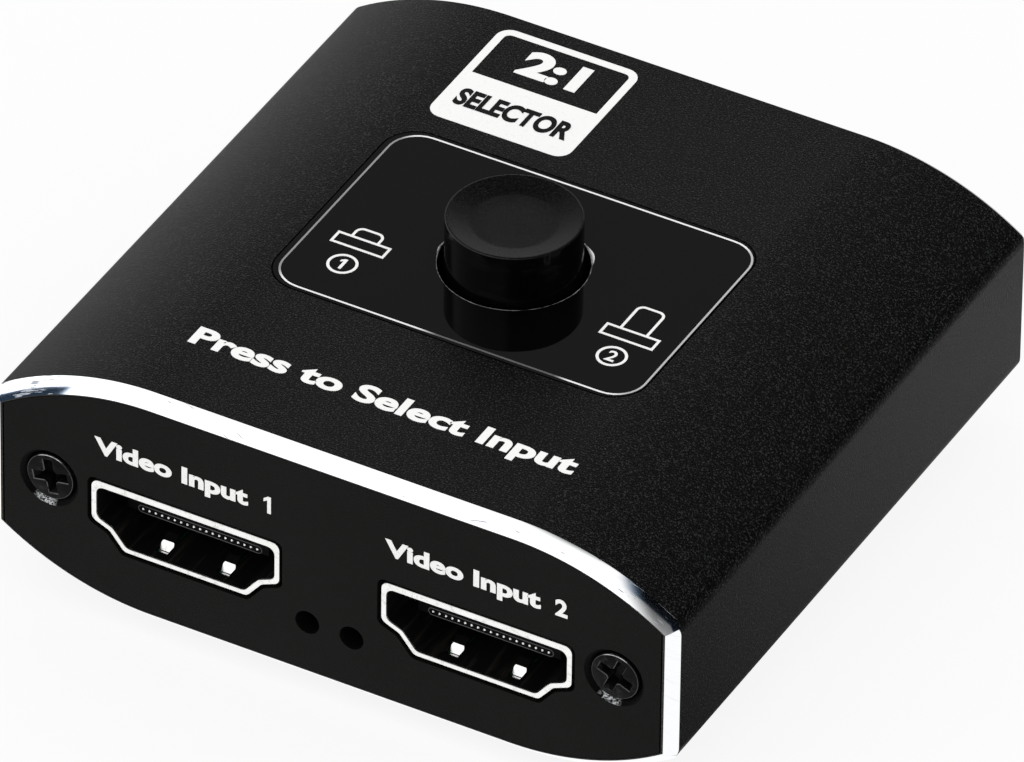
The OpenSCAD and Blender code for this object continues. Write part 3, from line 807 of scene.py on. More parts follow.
def sleeve():
    outer = section_loop(0, 0, filleted=True)
    inner = section_loop(BEVEL, BEVEL_SIDE)
    rim = section_loop(BEVEL + RIM, BEVEL_SIDE + RIM_SIDE)
    wall = section_loop(WALL, WALL)

    def at(outline, y):
        return [(x, y, BASE + z) for x, z in outline]

    loops = [
        [(x, FRONT + bevel_setback(x, z), BASE + z) for x, z in outer],
        bevel_middle(outer, inner, FRONT, 1),
        at(inner, FRONT),
        at(rim, FRONT),
        at(rim, FRONT + PLATE_T),
        at(wall, FRONT + PLATE_T),
        at(wall, REAR - PLATE_T),
        at(rim, REAR - PLATE_T),
        at(rim, REAR),
        at(inner, REAR),
        bevel_middle(outer, inner, REAR, -1),
        [(x, REAR - bevel_setback(x, z), BASE + z) for x, z in outer],
    ]
    bands = [1, 1, 0, 0, 0, 0, 0, 0, 0, 1, 1, 0]
    shape = Shape().skin(loops, bands, closed=True)
    finishes = [SLEEVE_BLACK, BRIGHT_CUT]
    made = put("sleeve", wear(shape.mesh("sleeve", 25), *finishes))
    edge = round_rect(PANEL_W + 2 * PANEL_PLAY, PANEL_D + 2 * PANEL_PLAY, PANEL_R + PANEL_PLAY)
    carve(made, Shape().solid([level(edge, z) for z in (TOP - PANEL_T, TOP + CUT_OVER)]))
    carve(made, Shape().solid(turned([(HOLE_R, TOP - HOLE_DEEP), (HOLE_R, TOP + CUT_OVER)])))
    shade(made.data, 25)
    dress(made, finishes, "base", "black_aluminium", "housing")


# Glossy panel
def on_round_rect(angle, width, depth, radius):
    """Where a ray from the middle at this angle meets the rounded outline."""
    c, s = math.cos(angle), math.sin(angle)
    reach = min(width / 2 / max(abs(c), 1e-9), depth / 2 / max(abs(s), 1e-9))
    cx, cy = width / 2 - radius, depth / 2 - radius
    if abs(c) * reach > cx and abs(s) * reach > cy:
        along = cx * abs(c) + cy * abs(s)
        reach = along + math.sqrt(along**2 - cx**2 - cy**2 + radius**2)
    return reach * c, reach * s


def gloss_panel():
    angles = full_turn(256)

    def edge(z):
        return [(*on_round_rect(a, PANEL_W, PANEL_D, PANEL_R), z) for a in angles]

    def pale_line(inset, z):
        """An outline drawn in from the panel's edge, a little to the right of its middle."""
        width = PANEL_W - 2 * (BORDER_INSET_X + inset)
        depth = PANEL_D - 2 * (BORDER_INSET_Y + inset)
        points = [on_round_rect(a, width, depth, PANEL_R - BORDER_INSET_X - inset) for a in angles]
        return [(x + BORDER_SHIFT, y, z) for x, y in points]

    def hole(radius, z):
        return level(ring_path((0, 0), radius, len(angles)), z)

    def bulged_ring(radius, z):
        """The pale ring at the hole's edge, a painted highlight, drawn wider at its right and a
        little at its left.
        """
        points = []

        def bell(turn, width):
            return math.exp(-((math.remainder(turn, 2 * math.pi) / width) ** 2))

        for a in angles:
            right = RING_BULGE_DEPTH * bell(a - RING_BULGE_ANGLE, RING_BULGE_SPAN)
            left = SMALL_BULGE_DEPTH * bell(a - RING_BULGE_ANGLE - SMALL_BULGE_ANGLE, SMALL_BULGE_SPAN)
            wide = radius + right + left + 0.02 * math.sin(9 * a) * math.sin(5 * a)
            points.append((wide * math.cos(a), wide * math.sin(a), z))
        return points

    loops = [
        edge(TOP - PANEL_T),
        edge(TOP),
        pale_line(0, TOP),
        pale_line(BORDER_RISE, TOP + BORDER_RISE),
        pale_line(BORDER_W - BORDER_RISE, TOP + BORDER_RISE),
        pale_line(BORDER_W, TOP),
        bulged_ring(RING_R + RING_W, TOP),
        hole(RING_R, TOP),
        hole(RING_R, TOP - PANEL_T),
    ]
    # finish 1 bands: the pale line and the hole's ring, both painted highlights
    mesh = Shape().skin(loops, [0, 0, 1, 1, 1, 0, 1, 0, 0], closed=True).mesh("gloss_panel", 5)
    finishes = [GLOSS_PANEL, PANEL_EDGE_PAINTED_HIGHLIGHT]
    piece("gloss_panel", mesh, finishes, "base", "gloss_black", "control_overlay")


# Push button
def push_button():
    floor = CAP_TOP - DISH
    rim_r = CAP_R - CAP_EDGE
    turn = 0.12
    climb = DISH * turn / (rim_r - DISH_FLOOR_R)
    slope = [
        (DISH_FLOOR_R - turn, floor),
        (DISH_FLOOR_R, floor + 0.25 * climb),
        (DISH_FLOOR_R + turn, floor + climb),
        (rim_r - turn, CAP_TOP - climb),
        (rim_r, CAP_TOP),
    ]
    bend = [
        (rim_r + CAP_EDGE * math.sin(a), CAP_TOP - CAP_EDGE + CAP_EDGE * math.cos(a))
        for a in spread(0, math.pi / 2, 10)
    ]
    roof = CAP_TOP - CAP_ROOF
    profile = [(0, floor), (DISH_FLOOR_R / 2, floor)]
    profile += slope + bend[1:]
    side_from = len(profile) - 4
    profile += [
        (CAP_R, CAP_BOTTOM + CAP_FOOT),
        (CAP_R - CAP_FOOT, CAP_BOTTOM),
        (CAP_R - CAP_WALL, CAP_BOTTOM),
        (CAP_R - CAP_WALL, roof),
        (STEM_SLEEVE_R, roof),
        (STEM_SLEEVE_R, CAP_BOTTOM),
        (0, CAP_BOTTOM),
    ]
    bands = [0 if i < side_from else 1 for i in range(len(profile) - 1)]
    mesh = Shape().skin(turned(profile, 160), bands).mesh("push_button", 35)
    finishes = [BUTTON_BLACK, BUTTON_SIDE]
    piece("push_button", mesh, finishes, "button", "button_black", "button_cap")


# Sockets
def socket_corners():
    """Corners of a shell's outside, counter-clockwise from the foot's left end."""
    right = [
        (SOCKET_FOOT_W / 2, SOCKET_LOW),
        (SOCKET_STEP_W / 2, SOCKET_LOW + SOCKET_STEP_RISE),
        (SOCKET_W / 2, SOCKET_LOW + SOCKET_SIDE_RISE),
        (SOCKET_W / 2, SOCKET_HIGH),
    ]
    return right + [(-x, z) for x, z in reversed(right)]


def socket_loop(grow, steps=6):
    """The shell's outline moved out by grow, with round corners."""
    corners = [Vector(c) for c in socket_corners()]
    moved = [corner - side for corner, side in zip(corners, mitres(corners, grow))]
    points = []
    for i, corner in enumerate(moved):
        back = (moved[i - 1] - corner).normalized()
        ahead = (moved[(i + 1) % len(moved)] - corner).normalized()
        half = back.angle(ahead) / 2
        middle = corner + (back + ahead).normalized() * (SOCKET_ROUND / math.sin(half))
        first = corner + back * (SOCKET_ROUND / math.tan(half)) - middle
        last = corner + ahead * (SOCKET_ROUND / math.tan(half)) - middle
        swing = math.atan2(first.x * last.y - first.y * last.x, first.dot(last))
        for k in range(steps + 1):
            turn = Matrix.Rotation(swing * k / steps, 2)
            points.append(tuple(middle + turn @ first))
    return points


def at_socket(name):
    """The move from a socket's own place, mouth at y 0, to where that socket stands."""
    if name == "output":
        return lambda p: (-p[0], REAR - (MOUTH_Y - FRONT) - p[1], SOCKET_Z + p[2])
    x = SOCKET_X if name == "input_1" else -SOCKET_X
    return lambda p: (x + p[0], MOUTH_Y + p[1], SOCKET_Z + p[2])


def tab_strip(shape, line, half_widths, finish):
    """A strip of sheet metal along a line of (depth, height), as wide as given at each point."""
    loops = []
    for i, ((y, z), half_w) in enumerate(zip(line, half_widths)):
        before, after = line[max(i - 1, 0)], line[min(i + 1, len(line) - 1)]
        along = Vector((after[0] - before[0], after[1] - before[1])).normalized()
        up = Vector((along.y, -along.x)) * (TAB_T / 2)
        low, high = (y - up.x, z - up.y), (y + up.x, z + up.y)
        loops.append([(-half_w, *low), (-half_w, *high), (half_w, *high), (half_w, *low)])
    shape.solid(loops, [finish] * len(loops))


def spring_tab():
    """A floor tab: it rises from the back and turns down at the mouth in a bright, lipped pad."""
    shape = Shape()
    crest, brow, foot, lip = (2.7, 0.72), (2.12, 0.5), (1.64, -0.04), (1.5, -0.2)
    wide, slim = 0.49, 0.4

    def between(share, first, last):
        return tuple(a + (b - a) * share for a, b in zip(first, last))

    arm = [(6.2, 0.25), (3.4, 0.66), crest, between(0.5, crest, brow), brow]
    # the arm, back in the shell, takes finish 1: painted shade
    tab_strip(shape, arm, [wide] * len(arm), 1)
    pad = [between(t, brow, foot) for t in (0, 0.12, 0.3, 0.75, 1)]
    tab_strip(shape, pad, [slim, 0.46, wide, wide, slim], 0)
    # a thin band of painted shade between the pad and its lip
    tab_strip(shape, [foot, between(0.35, foot, lip)], [slim, slim], 1)
    tab_strip(shape, [between(0.35, foot, lip), lip], [slim, slim * 0.9], 0)
    return shape


def socket_shell():
    lip, lip_end = 0.12, 0.3

    def at(grow, y, sag=0):
        return [(x, y, z - sag if z > 0 else z) for x, z in socket_loop(grow)]

    loops = [
        at(0, SOCKET_L),
        at(0, lip),
        at(-lip * 0.3, lip * 0.3),
        at(-lip, 0),
        at(lip - SHELL_T, 0, SHELL_TOP_LIP),
        at(lip * 0.3 - SHELL_T, lip * 0.3, SHELL_TOP_LIP),
        at(-SHELL_T, lip, SHELL_TOP_LIP),
        at(-SHELL_T, lip_end),
        at(-SHELL_T, SOCKET_L),
    ]
    # finish 1, the inner walls behind the lip, is painted shade
    return Shape().skin(loops, [0, 0, 0, 0, 0, 0, 1, 1, 0], closed=True)


def shell_fittings():
    """Two floor tabs and four solder legs."""
    shape = Shape()
    for side in (-1, 1):
        shape.add(spring_tab(), lambda p: (p[0] + side * TAB_X, p[1], p[2] + SOCKET_LOW))
        for share in LEG_SHARES:
            x, y = side * (SOCKET_W - SHELL_T) / 2, share * SOCKET_L
            low = (x - LEG_HALF_T, y - LEG_HALF_L, SOCKET_LOW - LEG_DROP)
            shape.block(low, (x + LEG_HALF_T, y + LEG_HALF_L, LEG_TOP))
    return shape


def socket_shells():
    """The shells with their floor windows cut, each with two tabs and four legs."""
    finishes = [PLATED, SHELL_INSIDE_PAINTED_SHADE]
    pattern = put("shell", wear(socket_shell().mesh("shell"), *finishes))
    for side in (-1, 1):
        window = Shape()
        low = (side * TAB_X - WINDOW_HALF_W, WINDOW_START, SOCKET_LOW - WINDOW_OVER)
        high = (side * TAB_X + WINDOW_HALF_W, WINDOW_END, SOCKET_LOW + SHELL_T + WINDOW_OVER)
        # the window's cut faces take finish 1, painted shade
        window.block(low, high, 1)
        carve(pattern, window)
    fittings = wear(shell_fittings().mesh("fittings", 5), *finishes)
    whole = joined("shell", [pattern.data, fittings])
    for name in SOCKETS:
        mesh = moved_mesh(whole, at_socket(name))
        piece(name + "_mouth", mesh, finishes, "base", "plated_steel", name + "_shell")
    bpy.data.objects.remove(pattern)


def row_tree(name):
    """Repeats its own mesh along X, centred, each one turned further about Y than the last."""
    tree = bpy.data.node_groups.new(name, "GeometryNodeTree")
    inputs = {
        "Geometry": "NodeSocketGeometry",
        "Count": "NodeSocketInt",
        "Pitch": "NodeSocketFloat",
        "First turn": "NodeSocketFloat",
        "Turn step": "NodeSocketFloat",
        "Finish": "NodeSocketMaterial",
    }
    for label, kind in inputs.items():
        tree.interface.new_socket(label, in_out="INPUT", socket_type=kind)
    tree.interface.new_socket("Geometry", in_out="OUTPUT", socket_type="NodeSocketGeometry")
    made = Nodes(tree)
    given = made.node("NodeGroupInput").outputs
    pitch, count = given["Pitch"], given["Count"]
    half = made.product(made.maths("SUBTRACT", count, 1.0), pitch, -0.5)
    ends = {"Start_Location": made.combined(half), "Offset": made.combined(pitch)}
    line = made.node("GeometryNodeMeshLine", Count=count, **ends)
    index = made.node("GeometryNodeInputIndex").outputs[0]
    step = made.product(index, given["Turn step"])
    turn = made.combined(0.0, made.maths("ADD", given["First turn"], step))
    places = {"Points": line.outputs[0], "Rotation": turn}
    copies = made.node("GeometryNodeInstanceOnPoints", Instance=given["Geometry"], **places)
    real = made.node("GeometryNodeRealizeInstances", copies.outputs[0])
    dressed = made.node("GeometryNodeSetMaterial", real.outputs[0], Material=given["Finish"])
    made.node("NodeGroupOutput", dressed.outputs[0])
    return tree


ROW = row_tree("row_of_copies")


def row_of(obj, finish, count, pitch, first_turn=0.0, turn_step=0.0):
    """Runs the row tree on an object and leaves the plain mesh."""
    row = obj.modifiers.new("row", "NODES")
    row.node_group = ROW
    wanted = {
        "Count": count,
        "Pitch": pitch * MM,
        "First turn": first_turn,
        "Turn step": turn_step,
        "Finish": finish,
    }
    for item in ROW.interface.items_tree:
        if item.in_out == "INPUT" and item.name in wanted:
            row[item.identifier] = wanted[item.name]
    return settle(obj)


def contact_strip(top):
    """One contact: a strip on the tongue with a turned-down nose, a drop behind and a foot."""
    thick, half = 0.16, 0.16
    nose, crest = TONGUE_TIP + 0.25, TONGUE_TIP + 0.4
    tail, toe, foot = SOCKET_L + 0.05, SOCKET_L + 1.05, SOCKET_LOW
    line = [
        (nose, top - 0.06),
        (crest, top),
        (tail + thick, top),
        (tail + thick, foot + thick),
        (toe, foot + thick),
        (toe, foot),
        (tail, foot),
        (tail, top - thick),
        (nose, top - thick),
    ]
    return Shape().solid([[(x, y, z) for y, z in line] for x in (-half, half)])


def contact_tip(z):
    """The small round end of a contact in the tongue's front face."""
    rings = []
    for radius, ahead in ((0.1, 0.05), (0.1, -0.02), (0.05, -0.06)):
        ring = ring_path((TIP_ROW_X, z), radius, 10)
        rings.append([(x, TONGUE_TIP + ahead, up) for x, up in ring])
    return Shape().solid(rings)


def moved_mesh(mesh, place):
    """A copy of a mesh with each point moved; place works in millimetres."""
    copy = mesh.copy()
    for point in copy.vertices:
        point.co = Vector(place(tuple(c / MM for c in point.co))) * MM
    return copy


def joined(name, meshes):
    whole = bmesh.new()
    for mesh in meshes:
        whole.from_mesh(mesh)
    made = bpy.data.meshes.new(name)
    whole.to_mesh(made)
    whole.free()
    return made


def socket_contacts():
    rows = [
        (contact_strip(TONGUE_TOP + 0.05), CONTACT_GOLD, 10, 1.0),
        (contact_strip(TONGUE_TOP - TONGUE_T + 0.11), CONTACT_GOLD, 9, 1.0),
        (contact_tip(TIP_ROW_Z), CONTACT_TIP, 19, TIP_PITCH),
    ]
    strips, tips = [], []
    for i, (shape, finish, count, pitch) in enumerate(rows):
        obj = put("contact_row", shape.mesh("contact_row_" + str(i)))
        row_of(obj, finish, count, pitch)
        kept = tips if finish is CONTACT_TIP else strips
        kept += [moved_mesh(obj.data, at_socket(name)) for name in SOCKETS]
        bpy.data.objects.remove(obj)
    mesh = shade(joined("socket_contacts", strips))
    replaced = [name + "_contacts" for name in SOCKETS]
    piece("socket_contacts", mesh, [CONTACT_GOLD], "base", "contact_gold", *replaced)
    mesh = shade(joined("contact_tips", tips))
    piece("contact_tips", mesh, [CONTACT_TIP], "base", "contact_gold")


def tongue_painted_highlights():
    """A thin grey line around the contacts' ends on the front of each tongue, a painted highlight
    of the tongue's edges.
    """
    width, height, corner, line_w = 9.8, 0.58, 0.28, 0.06
    front = TONGUE_TIP + 0.01
    shape = Shape()
    line = Shape()
    stroke(line, round_rect(width, height, corner, 4), line_w)
    for name in SOCKETS:
        place = at_socket(name)
        shape.add(line, lambda p: place((TIP_ROW_X + p[0], front - p[2], TIP_ROW_Z + p[1])))
    piece("tongue_painted_highlights", shape.mesh("tongue_painted_highlights"), [TONGUE_PAINTED_HIGHLIGHT], "base", "socket_black")


# Screws
def screw():
    """A countersunk screw along Y with its face at SCREW_FACE, cross cut into the head."""
    seat = COUNTERSINK_R - SCREW_PLAY
    profile = [
        (0, SCREW_FACE),
        (HEAD_FACE_R - HEAD_EDGE, SCREW_FACE),
        (HEAD_FACE_R - 0.3 * HEAD_EDGE, SCREW_FACE + 0.3 * HEAD_EDGE),
        (HEAD_FACE_R, SCREW_FACE + HEAD_EDGE),
        (HEAD_FACE_R, seat - HEAD_FACE_R),
        (SHANK_R, seat - SHANK_R),
        (SHANK_R, SCREW_L - SCREW_POINT),
        (SHANK_R - SCREW_POINT, SCREW_L),
        (0, SCREW_L),
    ]
    shape = Shape().skin([[(x, z, -y) for x, y, z in ring] for ring in turned(profile, 64)])
    made = put("screw", shape.mesh("screw", 25))
    edge = 0.75 * HEAD_EDGE

    def cut(corners, turn, taper):
        """Cuts a pit whose outline at the face is a little wider, for a turned edge."""
        spin = Matrix.Rotation(turn, 3, "Y")
        rings = []
        steps = ((-CUT_OVER, edge, 1), (0, edge, 1), (edge, 0, 1), (CROSS_DEEP, 0, taper))
        for y, grow, share in steps:
            ring = []
            for x, z in corners:
                wide = (math.copysign(abs(c) * share + grow, c) for c in (x, z))
                ring.append(tuple(spin @ Vector((next(wide), SCREW_FACE + y, next(wide)))))
            rings.append(ring)
        carve(made, Shape().solid(rings))

    for turn in (0, math.pi / 2):
        cut(oblong_path((0, 0), 2 * CROSS_HALF_W, 2 * CROSS_REACH), turn, CROSS_TAPER)
    cut(oblong_path((0, 0), CROSS_MIDDLE, CROSS_MIDDLE), math.pi / 4, MIDDLE_TAPER)
    shade(made.data, 25)
    return made


def case_screws():
    pattern = screw()
    for name, first, step, end, way in (
        ("front_screws", math.radians(-11), math.radians(34), FRONT, 1),
        ("rear_screws", math.radians(20), math.radians(45), REAR, -1),
    ):
        pair = put("case_" + name, pattern.data.copy())
        row_of(pair, SCREW_BLACK, 2, 2 * SCREW_X, first, step)
        mesh = moved_mesh(pair.data, lambda p: (way * p[0], end + way * p[1], SCREW_Z + p[2]))
        pair.data = shade(mesh, 25)
        dress(pair, [SCREW_BLACK], "base", "black_steel", name)
    bpy.data.objects.remove(pattern)


# Printed marks: flat outlines in millimetres, laid on a face of the box
INK_T = 0.025
INK_GAP = 0.005


def on_top(p):
    return p[0], p[1], TOP + p[2]


def on_ink(p):
    return p[0], p[1], TOP + INK_T + INK_GAP + p[2]


def on_front(p):
    return p[0], FRONT - p[2], p[1]


def stroke(shape, path, width, closed=True):
    """A line of even width along a path, as a thin solid."""
    points = [Vector(p) for p in path]
    sides = mitres(points, width / 2, closed)
    left = [p + side for p, side in zip(points, sides)]
    right = [p - side for p, side in zip(points, sides)]
    for i in range(len(points) if closed else len(points) - 1):
        j = (i + 1) % len(points)
        patch(shape, [left[i], right[i], right[j], left[j]])


def patch(shape, points):
    shape.solid([level(points, z) for z in (0.0, INK_T)])


def letters(words, cap_height, middle, weight, width=None):
    """A mesh of printed letters in the plane, its caps that high and its middle there."""

    def drawn(body):
        curve = bpy.data.curves.new("letters", "FONT")
        curve.body = body
        curve.offset = weight
        curve.extrude = 0.5
        curve.resolution_u = 6
        obj = put("letters", curve)
        made = plain_mesh(obj)
        bpy.data.objects.remove(obj)
        return made

    mesh = drawn(words)
    capital = [p.co.y for p in drawn("I").vertices]
    wide = [p.co.x for p in mesh.vertices]
    up = cap_height / (max(capital) - min(capital))
    across = width / (max(wide) - min(wide)) if width else up
    middle_x, middle_y = (max(wide) + min(wide)) / 2, (max(capital) + min(capital)) / 2
    for p in mesh.vertices:
        p.co = (
            (middle[0] + (p.co.x - middle_x) * across) * MM,
            (middle[1] + (p.co.y - middle_y) * up) * MM,
            (p.co.z + 0.5) * INK_T * MM,
        )
    return mesh


def print_marks(name, meshes, place, finish, slot):
    mesh = moved_mesh(joined(name, meshes), place)
    welded = bmesh.new()
    welded.from_mesh(mesh)
    bmesh.ops.remove_doubles(welded, verts=welded.verts, dist=1e-8)
    bmesh.ops.recalc_face_normals(welded, faces=welded.faces)
    welded.to_mesh(mesh)
    welded.free()
    piece(name, shade(mesh), [finish], "base", slot)


def numeral_one(shape, height, middle):
    """A figure 1 with a flag."""
    stem = [(-0.06, -0.5), (0.14, -0.5), (0.14, 0.5), (-0.03, 0.5)]
    flag = [(-0.26, 0.33), (-0.26, 0.15), (-0.06, 0.27)]
    outline = stem + flag
    patch(shape, [(middle[0] + x * height, middle[1] + y * height) for x, y in outline])


def button_pictogram(shape, middle, hat_height):
    """A button seen from the side: a brim, and a cap that stands up by hat_height."""
    line, radius = 0.2, 0.5
    brim_w, brim_h, cap_w = 4.06, 1.12, 2.04
    x, y = middle
    rise = y + brim_h / 2
    top = rise + hat_height
    stroke(shape, oblong_path(middle, brim_w, brim_h), line)
    crown = [(dx, dy) for dx, dy in round_rect(cap_w, 4 * radius, radius, 6) if dy > 0]
    cap = [(x + cap_w / 2, rise + line / 2)]
    cap += [(x + dx, top - 2 * radius + dy) for dx, dy in crown]
    cap += [(x - cap_w / 2, rise + line / 2)]
    stroke(shape, cap, line, closed=False)


def panel_marks():
    figure_h, ring_r, ring_w = 1.15, 1.02, 0.21
    shape = Shape()
    meshes = []
    for number, mark, hat, ring in (
        ("1", (-10.27, -3.45), 1.1, (-10.3, -6.0)),
        ("2", (10.99, -3.35), 2.85, (10.98, -5.9)),
    ):
        button_pictogram(shape, mark, hat)
        stroke(shape, ring_path(ring, ring_r), ring_w)
        if number == "1":
            numeral_one(shape, figure_h, ring)
        else:
            meshes.append(letters(number, figure_h, ring, weight=0.012))
    meshes.append(shape.mesh("panel_marks"))
    print_marks("panel_marks", meshes, on_top, INK_WHITE, "gloss_black")


def front_labels():
    height, width, figure_w = 1.45, 14.3, 2.1
    label_z = TOP - 5.5
    meshes = []
    figure_one = Shape()
    for middle in (SOCKET_X, -SOCKET_X):
        words = (middle - figure_w / 2, label_z)
        figure = (middle + width / 2 - 0.5, label_z)
        meshes.append(letters("Video Input", height, words, weight=0.04, width=width - figure_w))
        if middle < 0:
            numeral_one(figure_one, height, figure)
        else:
            meshes.append(letters("2", height, figure, weight=0.035))
    meshes.append(figure_one.mesh("figure_one"))
    print_marks("front_labels", meshes, on_front, INK_WHITE, "plate_black")


def top_label():
    height, width, middle = 1.95, 30.2, (-0.2, -18.0)
    words = letters("Press to Select Input", height, middle, weight=0.035, width=width)
    print_marks("top_label", [words], on_top, INK_WHITE, "black_aluminium")


def top_emblem():
    """A framed sign: two inputs to one output, over a white band with a dark word."""
    x, y, width, height = -8.29, 17.92, 11.25, 11.5
    line, corner = 0.62, 1.1
    shape = Shape()

    def outline(inset):
        points = round_rect(width - 2 * inset, height - 2 * inset, corner - inset, 6)
        return [(x + dx, y + dy) for dx, dy in points]

    stroke(shape, outline(line / 2), line)
    patch(shape, [(px, min(py, y)) for px, py in outline(line)])
    figure_h, figure_w, figure_rise, word_h, word_w = 3.0, 4.9, 2.9, 2.0, 9.1
    figures = letters("2:1", figure_h, (x, y + figure_rise), weight=0.05, width=figure_w)
    white = [shape.mesh("emblem_white"), figures]
    print_marks("emblem_white", white, on_top, INK_WHITE, "black_aluminium")
    word = letters("SELECTOR", word_h, (x, y - height / 4), weight=0.04, width=word_w)
    print_marks("emblem_dark", [word], on_ink, INK_BLACK, "black_aluminium")


# Return spring of the push switch
SPRING_TURNS = 5
SPRING_WIRE = 0.25
END_CLOSING = 0.09


def coil_spring():
    """Round wire wound from the switch's floor into the slider, closer at both ends."""
    low, high = box_mm("return_spring")
    x, y = (low[0] + high[0]) / 2, (low[1] + high[1]) / 2
    length = high[2] - low[2]
    wire = SPRING_WIRE / 2
    reach = (high[0] - low[0]) / 2 - wire
    rings = []
    for t in spread(0, 1, 28 * SPRING_TURNS):
        turn = 2 * math.pi * SPRING_TURNS * t
        rise = t - END_CLOSING * math.sin(2 * math.pi * t)
        z = low[2] + wire + (length - SPRING_WIRE) * rise
        ring = ring_path((reach, z), wire, 10)
        rings.append([(x + r * math.cos(turn), y + r * math.sin(turn), h) for r, h in ring])
    mesh = Shape().solid(rings).mesh("coil_spring")
    made = piece("coil_spring", mesh, [SPRING_STEEL], "base", "spring_steel", "return_spring")
    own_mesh(made)


# CAD nodes that show as they are
CARRIED = {
    "front_plate": PLATE_BLACK,
    "rear_plate": PLATE_BLACK,
    "rubber_feet": FOOT_RUBBER,
    "circuit_board": BOARD_GREEN,
    "input_1_insulator": SOCKET_BLACK,
    "input_2_insulator": SOCKET_BLACK,
    "output_insulator": SOCKET_BLACK,
    "switch_case": SWITCH_BLACK,
    "switch_cover": PLATED,
    "switch_slider": SLIDER_WHITE,
    "latch_wire": SPRING_STEEL,
    "sliding_contacts": CONTACT_GOLD,
    "switch_terminals": CONTACT_GOLD,
    "indicator_lamp_1": LAMP_SMOKED,
    "indicator_lamp_2": LAMP_SMOKED,
    "lamp_leads": PLATED,
    "selector_chip": CHIP_BLACK,
    "regulator_chip": CHIP_BLACK,
    "chip_capacitors": CHIP_TAN,
    "chip_resistors": CHIP_BLACK,
}


def carried_nodes():
    for name, finish in CARRIED.items():
        nodes[name].data.materials.clear()
        wear(nodes[name].data, finish)


# Stage: floor, light and camera
def floor():
    """A pale floor; glossy faces see it bright ahead of the box and dimmer beside it."""
    shape = Shape()
    shape.block((-FLOOR_HALF, -FLOOR_HALF, -FLOOR_T), (FLOOR_HALF, FLOOR_HALF, 0))
    pale = Finish("pale_floor", Base_Color=grey(0.9), Roughness=0.9, Specular_IOR_Level=0.0)
    path = pale.node("ShaderNodeLightPath").outputs
    x, y, z = pale.axes()
    ahead = pale.ranged_mm(y, FRONT + 4, FRONT - 1, 0.0, 1.05, smooth=True)
    beside = pale.product(
        pale.ranged_mm(y, -18, 40, 0.08, 0.44),
        pale.ranged_mm(x, 36, 54, 1.0, 0.05, smooth=True),
    )
    below = pale.product(
        pale.ranged_mm(y, FRONT + 10, FRONT + 5, 0.0, 1.05, smooth=True),
        pale.maths("LESS_THAN", x, HALF_W * MM),
    )
    mirrored = pale.maths("MAXIMUM", pale.maths("MAXIMUM", ahead, beside), below)
    strength = pale.mixed(path["Is Glossy Ray"], 1.0, mirrored)
    glow = pale.node("ShaderNodeEmission", Strength=strength).outputs[0]
    share = pale.maths("MULTIPLY", path["Is Camera Ray"], 0.88)
    share = pale.maths("MAXIMUM", share, path["Is Glossy Ray"])
    whole = pale.node("ShaderNodeMixShader", share, pale.shader.outputs[0], glow).outputs[0]
    pale.feed(pale.tree.nodes["Material Output"].inputs["Surface"], whole)
    made = put("floor", wear(shape.mesh("floor"), pale.material))


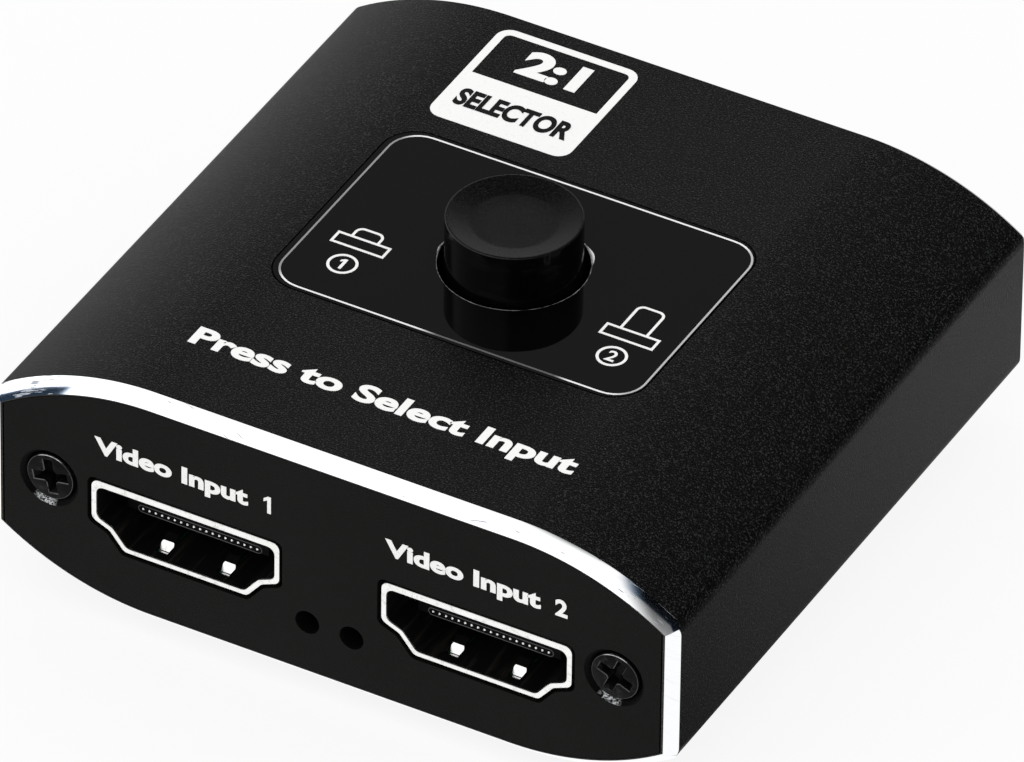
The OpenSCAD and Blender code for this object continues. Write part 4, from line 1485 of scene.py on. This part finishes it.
def studio():
    """White to the camera, even on matt faces; glossy faces see a room, lamps and dark screens."""
    world = bpy.data.worlds.new("studio")
    bpy.context.scene.world = world
    world.use_nodes = True
    made = Nodes(world.node_tree)
    way = made.node("ShaderNodeTexCoord").outputs["Generated"]
    x, y, z = made.split(way)

    def facing(direction):
        return made.vector_maths("DOT_PRODUCT", way, direction)["Value"]

    def near(direction, inner, outer):
        """1 within inner degrees of a direction, 0 beyond outer."""
        low, high = math.cos(math.radians(outer)), math.cos(math.radians(inner))
        return made.ranged(facing(Vector(direction).normalized()), low, high, smooth=True)

    def within(*edges):
        """1 inside soft edges, each an axis with where it turns from 0 to 1."""
        return made.product(*[made.ranged(*edge, smooth=True) for edge in edges])

    ramp = made.node("ShaderNodeValToRGB", z)
    stops = ((0.0, 0.5), (0.2, 0.46), (0.38, 0.36), (0.6, 0.115), (0.74, 0.012))
    while len(ramp.color_ramp.elements) < len(stops):
        ramp.color_ramp.elements.new(0.5)
    for element, (place, level) in zip(ramp.color_ramp.elements, stops):
        element.position = place
        element.color = (*grey(level), 1)
    dark_rear = made.ranged(near((0.74, 0.66, 0.12), 24, 50), 0, 1, 1.0, 0.03)
    long_lamp = within(
        (y, -0.25, -0.4),
        (z, 0.36, 0.42),
        (z, 0.86, 0.78),
        (x, 0.36, 0.12),
        (x, -0.85, -0.78),
    )
    lamps = made.maths("MAXIMUM", long_lamp, near((-0.89, -0.3, 0.33), 20, 30))
    left_screen = within((facing((-0.155, 0.798, 0.582)), 0.01, -0.02), (x, -0.73, -0.76))
    right_screen = within((y, -0.72, -0.69), (y, -0.2, -0.35), (x, 0.18, 0.32))
    screens = made.maths("MAXIMUM", left_screen, right_screen)
    room = made.product(ramp.outputs[0], dark_rear)
    room = made.maths("ADD", room, made.maths("MULTIPLY", lamps, 1.2))
    room = made.product(room, made.ranged(screens, 0, 1, 1.0, 0.035))
    mirrored = made.node("ShaderNodeLightPath").outputs["Is Glossy Ray"]
    tint = made.blended(made.product(mirrored, screens), grey(1), (0.3, 0.58, 1.0))
    sky = made.tree.nodes["Background"].inputs
    made.feed(sky["Color"], tint)
    made.feed(sky["Strength"], made.mixed(mirrored, 1.0, room))


def camera():
    back = Vector(
        (
            math.sin(VIEW_YAW) * math.cos(VIEW_PITCH),
            -math.cos(VIEW_YAW) * math.cos(VIEW_PITCH),
            math.sin(VIEW_PITCH),
        )
    )
    right = Vector((math.cos(VIEW_YAW), math.sin(VIEW_YAW), 0))
    up = back.cross(right)
    across = right * math.cos(VIEW_ROLL) + up * math.sin(VIEW_ROLL)
    upward = up * math.cos(VIEW_ROLL) - right * math.sin(VIEW_ROLL)
    eye = across * VIEW_SIDE + upward * VIEW_RISE + back * VIEW_DISTANCE + Vector((0, 0, BASE))
    data = bpy.data.cameras.new("camera")
    data.sensor_fit = "HORIZONTAL"
    data.sensor_width = SENSOR_W
    data.lens = SENSOR_W * VIEW_FOCAL / PHOTO_W
    data.clip_start = 0.05
    data.clip_end = 20
    made = put("camera", data)
    place = Matrix((across, upward, back)).transposed().to_4x4()
    place.translation = eye * MM
    made.matrix_world = place
    bpy.context.scene.camera = made


sleeve()
gloss_panel()
push_button()
socket_shells()
socket_contacts()
tongue_painted_highlights()
case_screws()
panel_marks()
front_labels()
top_label()
top_emblem()
coil_spring()
carried_nodes()
floor()
studio()
camera()
bpy.context.scene.view_settings.view_transform = "Standard"
